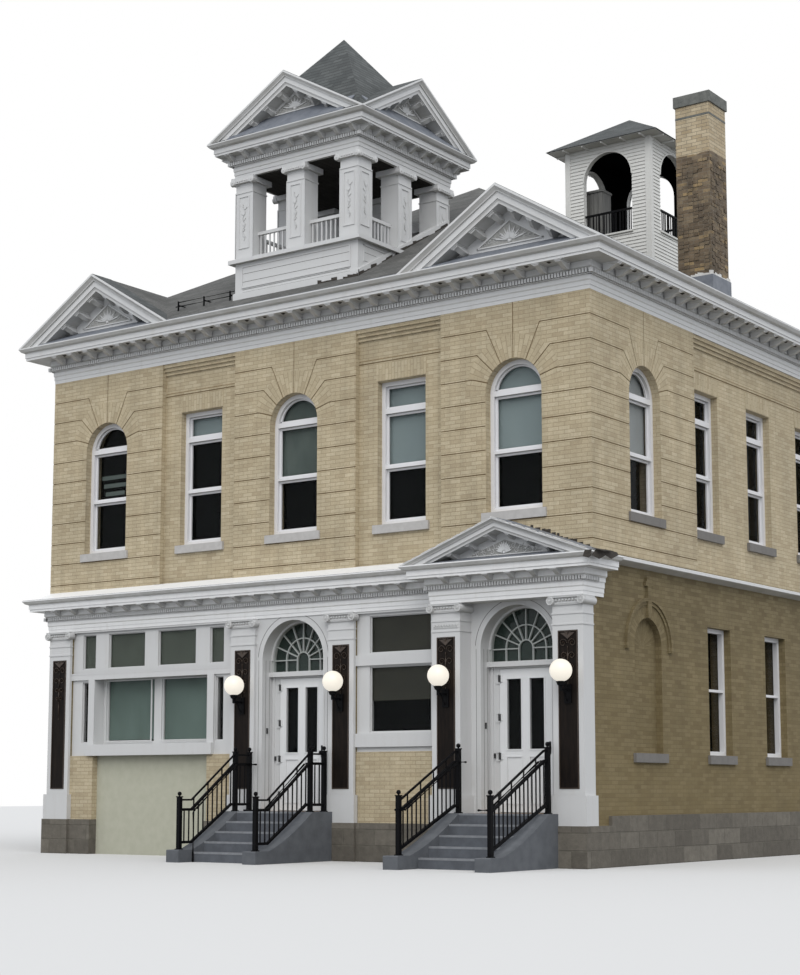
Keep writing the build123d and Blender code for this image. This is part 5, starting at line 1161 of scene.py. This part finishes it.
# dark lines of painted shade for the grooves of the door arches and jambs
grooves = Build("door_arch_grooves", gap_shade_soft)
bell = Build("door_bells", iron_soft, slot="")
for mid in DOOR_MIDS:
    arches.band(mid, DOOR_SPRING, 0.690, 0.722, -0.010, 0.0, n=32)
    arches.band(mid, DOOR_SPRING, 0.652, 0.690, 0.235, 0.270, n=32)
    arches.boxes(pair(mid, 0.690, 0.722), -0.010, 0.0, 0.84, DOOR_SPRING)
    arches.boxes(pair(mid, 0.615, 0.655), 0.248, 0.270, 0.845, 3.205)
    grooves.band(mid, DOOR_SPRING, 0.792, 0.800, -0.002, 0.0, 4, 176, 32)
    grooves.boxes(pair(mid, 0.778, 0.784), -0.002, 0.0, 0.84, DOOR_SPRING)
    for v in (0.085, 0.19):
        grooves.boxes(pair(mid, 0.6875, 0.6895), v, v + 0.006, 0.84, DOOR_SPRING)
    bell.box(mid - 0.690, mid - 0.676, 0.11, 0.15, 2.20, 2.30)
    bell.box(mid - 0.60, mid - 0.575, 0.235, 0.262, 1.72, 1.80)
arches.done()
grooves.done()
bell.done()

# Inner sashes of the upper windows, set back in their frames
inner = Build("upper_sashes", sash_paint)
for inner.place, arch_mids, flat_mids in ((front, FRONT_ARCHES, FRONT_FLATS), (right, SIDE_ARCHES, SIDE_FLATS),
                                          (left, SIDE_ARCHES, SIDE_FLATS)):
    for mid in arch_mids + flat_mids:
        arched = mid in arch_mids
        half, v0 = (0.470, 0.185) if arched else (0.435, 0.285)
        v1 = v0 + 0.030
        for z0, z1 in ((5.822, 6.742), (6.792, 7.716)):
            inner.frame(mid - half, mid + half, z0, z1, 0.038, v0, v1)
        if arched:
            inner.bar(mid, half, v0, v1, 7.812, 7.842)
            inner.band(mid, WINDOW_SPRING, 0.438, 0.472, v0, v1, 4, 176)
        else:
            inner.frame(mid - half, mid + half, 7.812, 8.202, 0.032, v0, v1)
inner.done()

# Blinds and glazing beads of the shop windows, blinds of the side
LEFT_SHOP, RIGHT_SHOP = -3.435, 2.3225
low = Build("shop_blinds", blind_low)
for (a, b), z in zip(pair(LEFT_SHOP, 0.115, 1.325), (2.150, 2.135)):
    low.box(a, b, 0.3155, 0.3185, z, 3.285)
low.done()
high = Build("shop_top_blinds", blind_top)
for a, b in ((0.170, 1.115), (1.460, 1.800)):
    high.boxes(pair(LEFT_SHOP, a - 0.004, b + 0.004), 0.115, 0.118, 3.505, 4.175)
high.done()
dim = Build("shop_dim_blinds", blind_dim)
for z0, z1 in ((3.525, 4.175), (2.72, 3.305)):
    dim.bar(RIGHT_SHOP, 0.645, 0.1155, 0.1185, z0, z1)
dim.done()
# pale blinds of the side windows, their tone standing in also for the sky's reflection: painted reflection in part
pale = Build("side_window_blinds", blind_side, right)
for mid in SIDE_ARCHES:
    pale.bar(mid, 0.48, ARCH_V, ARCH_V + 0.004, BLIND_FOOT, BLIND_TOP)
pale.done()
beads = Build("shop_beads", white_low)
for a, b, z0, z1, v in ((0.170, 1.115, 3.510, 4.170, 0.070), (1.460, 1.800, 3.510, 4.170, 0.070),
                        (1.615, 1.800, 2.100, 3.260, 0.070), (0.120, 1.320, 2.120, 3.280, 0.190)):
    for u0, u1 in pair(LEFT_SHOP, a, b):
        beads.frame(u0, u1, z0, z1, 0.016, v, v + 0.025)
for z0, z1 in ((3.530, 4.170), (2.180, 3.300)):
    beads.frame(RIGHT_SHOP - 0.6395, RIGHT_SHOP + 0.6395, z0, z1, 0.018, 0.07, 0.095)
beads.box(-5.490, -1.380, -0.004, 0.040, 3.400, 3.430)
beads.box(-5.490, -1.380, -0.010, 0.0, 4.215, 4.250)
beads.bar(RIGHT_SHOP, 0.91, -0.006, 0.0, 4.215, 4.250)
beads.done()

# Hinge plates of the leaves
for node, mid, body in DOORS:
    pins = Build(node + "_hinge_plates", iron_soft, body=body)
    for k in range(4):
        z = 1.120 + 0.633 * k
        pins.box(mid - 0.513, mid - 0.470, 0.243, 0.272, z - 0.055, z + 0.055)
        pins.ball(mid - 0.503, 0.252, z + 0.060, 0.010, 8)
    pins.done()

# Stair railings, cheek walls and step edges
FLOOR_Z, NOSE_Z, TOP_Z, FOOT_Z = 0.835, 0.210, 1.835, 1.210
RISER, TREAD = 0.167, 0.280


def sloping(y, start, end, z0, z1):
    t = min(max((start - y) / (start - end), 0.0), 1.0)
    return z0 + (z1 - z0) * t


def bars(build, x, y0, y1, start, end, z0, z1, size):
    h = size / 2
    ys = [y0] + [y for y in (start, end) if y1 < y < y0] + [y1]
    for a, b in zip(ys, ys[1:]):
        za, zb = sloping(a, start, end, z0, z1), sloping(b, start, end, z0, z1)
        build.beam([(a, za - h), (b, zb - h), (b, zb + h), (a, za + h)], x - h, x + h)


def newel(build, x, y, z, top):
    build.post(x, y, 0.035, z, top + 0.022).post(x, y, 0.050, z, z + 0.015).post(x, y, 0.043, top + 0.022, top + 0.040)
    build.lathe([(0.0005, 0.038), (0.014, 0.040), (0.014, 0.050), (0.0005, 0.052)], x, y, top, 8)
    build.ball(x, y, top + 0.082, 0.037, 12)


def railing(build, x, side, y_back, y_top, y_foot, start, end, drop, leg):
    """Newels, bars and balusters from y_back or y_top down to y_foot, with a handrail on arms beside them.

    The bars slope from start to end; leg takes the handrail's end down to the ground.
    """
    low_start = min(start, y_top - 0.115)
    foot = FOOT_Z - drop
    back = y_top if y_back is None else y_back
    newel(build, x, y_top, FLOOR_Z, TOP_Z)
    newel(build, x, y_foot, NOSE_Z, foot)
    if y_back is not None:
        newel(build, x, y_back, FLOOR_Z, TOP_Z)
    z0, z1 = TOP_Z - 0.183, foot - 0.183
    bars(build, x, back, y_foot, start, end, TOP_Z - 0.020, foot - 0.020, 0.030)
    bars(build, x, back, y_foot, start, end, z0, z1, 0.045)
    bars(build, x, back, y_foot, low_start, end, FLOOR_Z + 0.120, NOSE_Z + 0.120, 0.045)
    for ya, yb in ((back, y_top), (y_top, y_foot)):
        count = round((ya - yb) / 0.118)
        for k in range(1, count):
            y = ya + (yb - ya) * k / count
            build.post(x, y, 0.009, sloping(y, low_start, end, FLOOR_Z + 0.120, NOSE_Z + 0.120),
                       sloping(y, start, end, z0, z1) + (0.163 if k % 3 == 0 else 0.0))
    h = x + side * 0.080
    path = [(h, back + 0.10, z0), (h, start + 0.03, z0), (h, start - 0.03, z0 - 0.012), (h, end + 0.04, z1 + 0.018),
            (h, end, z1)]
    arms = [(y_top, z0)]
    if leg:
        g = x + side * 0.165
        path += [(h + side * 0.01, end - 0.05, z1), (g, -1.77, z1 - 0.01), (g, -1.80, z1 - 0.05), (g, -1.80, 0.0)]
        arms.append((end + 0.02, sloping(end + 0.02, start, end, z0, z1)))
    else:
        path.append((h, y_foot - 0.20, z1))
        arms.append((y_foot, z1))
    if y_back is not None:
        arms.append((y_back, z0))
    build.tube(path, 0.018, 8)
    for y, z in arms:
        build.box(min(x, h), max(x, h), y - 0.008, y + 0.008, z - 0.008, z + 0.008)


rails = Build("stair_ironwork", iron)
for side in (1, -1):
    railing(rails, DOOR_MIDS[0] - side * 0.84, side, -0.165, -0.542, -1.970, -0.577, -1.670, 0.150, side == 1)
    railing(rails, DOOR_MIDS[1] - side * 0.84, side, None, -0.450, -2.100, -0.560, -2.030, 0.120, False)
rails.done(replaces=["stair_railings"])
walls = Build("cheek_walls", cheek_mat)
for mid, out, back in zip(DOOR_MIDS, (2.130, 2.320), (0.0, PORCH_OUT)):
    # the sweep is a quadratic curve from the landing's edge to the nose, sagging below the straight line
    ends = ((-0.650, FLOOR_Z), (-out + 0.340, NOSE_Z))
    ctrl = [(a + b) / 2 - sag for a, b, sag in zip(*ends, (0.025, 0.125))]
    arc = [tuple((1 - t) ** 2 * a + 2 * t * (1 - t) * m + t * t * b for a, m, b in zip(ends[0], ctrl, ends[1]))
           for t in (k / 16 for k in range(17))]
    prof = [(back, 0.0), (back, FLOOR_Z)] + arc + [(-out + 0.012, NOSE_Z), (-out, NOSE_Z - 0.012), (-out, 0.0)]
    for u0 in (mid - 0.980, mid + 0.700):
        walls.beam(prof, u0, u0 + 0.280)
walls.done(replaces=["stair_cheeks"])
nose = Build("step_nosings", step_edge)
for mid in DOOR_MIDS:
    for k in range(5):
        y, z = -0.650 - TREAD * k, FLOOR_Z - RISER * k
        nose.bar(mid, 0.70, y - 0.004, y + 0.05, z - 0.030, z + 0.003)
nose.done()


# Stage, light and camera
def bare(owner):
    """The owner's tree, emptied."""
    tree = Tree(owner)
    tree.tree.nodes.clear()
    return tree


def placed(name, data, location=(0, 0, 0), turn=(0, 0, 0)):
    made = bpy.data.objects.new(name, data)
    made.location = location
    made.rotation_euler = [math.radians(a) for a in turn]
    bpy.context.scene.collection.objects.link(made)
    return made


mesh = bpy.data.meshes.new("floor")
mesh.from_pydata([(-80, -80, 0), (80, -80, 0), (80, 80, 0), (-80, 80, 0)], [], [(0, 1, 2, 3)])
floor = placed("floor", mesh)
ground = bpy.data.materials.new("floor_pale")
tree = bare(ground)
# darker for the light it gives back than for the eye, reflections and panes
rays = tree.node("LightPath", key=None)
seen = tree.out(rays, "Is Camera Ray")
for kind in ("Glossy", "Transmission"):
    seen = tree.node("Math", {0: seen, 1: tree.out(rays, "Is %s Ray" % kind)}, operation="ADD", use_clamp=True)
tones = [tree.node("BsdfDiffuse", {"Color": (tone, tone, tone)}) for tone in (0.20, 0.62)]
tree.node("OutputMaterial", {0: tree.node("MixShader", enumerate((seen, *tones)))}, None)
mesh.materials.append(ground)

world = bpy.data.worlds.new("sky")
bpy.context.scene.world = world
tree = bare(world)
skies = [tree.node("Background", {0: color, 1: 1.0}) for color in ((0.93, 0.96, 1.0), (1, 1, 1))]
seen = tree.node("LightPath", key="Is Camera Ray")
tree.node("OutputWorld", {0: tree.node("MixShader", enumerate((seen, *skies)))}, None)

sun = bpy.data.lights.new("sun", "SUN")
sun.energy = 1.55
sun.angle = math.radians(50)
sun.color = (1.0, 0.97, 0.92)
placed("sun", sun, turn=(48, 0, 37))

PICTURE_HEIGHT = 975  # in pixels, as are the focal length and the horizon
camera = bpy.data.cameras.new("camera")
camera.sensor_fit = "VERTICAL"
camera.sensor_height = 36.0
camera.sensor_width = 36.0
camera.lens = 1847.31 / PICTURE_HEIGHT * 36.0
camera.shift_y = (549.154 - PICTURE_HEIGHT / 2) / PICTURE_HEIGHT
camera.clip_end = 500
bpy.context.scene.camera = placed("camera", camera, (20.622, -25.369 + SHIFT, 1.220), (97.40, 0.0, 35.764))
bpy.context.scene.view_settings.view_transform = "Standard"
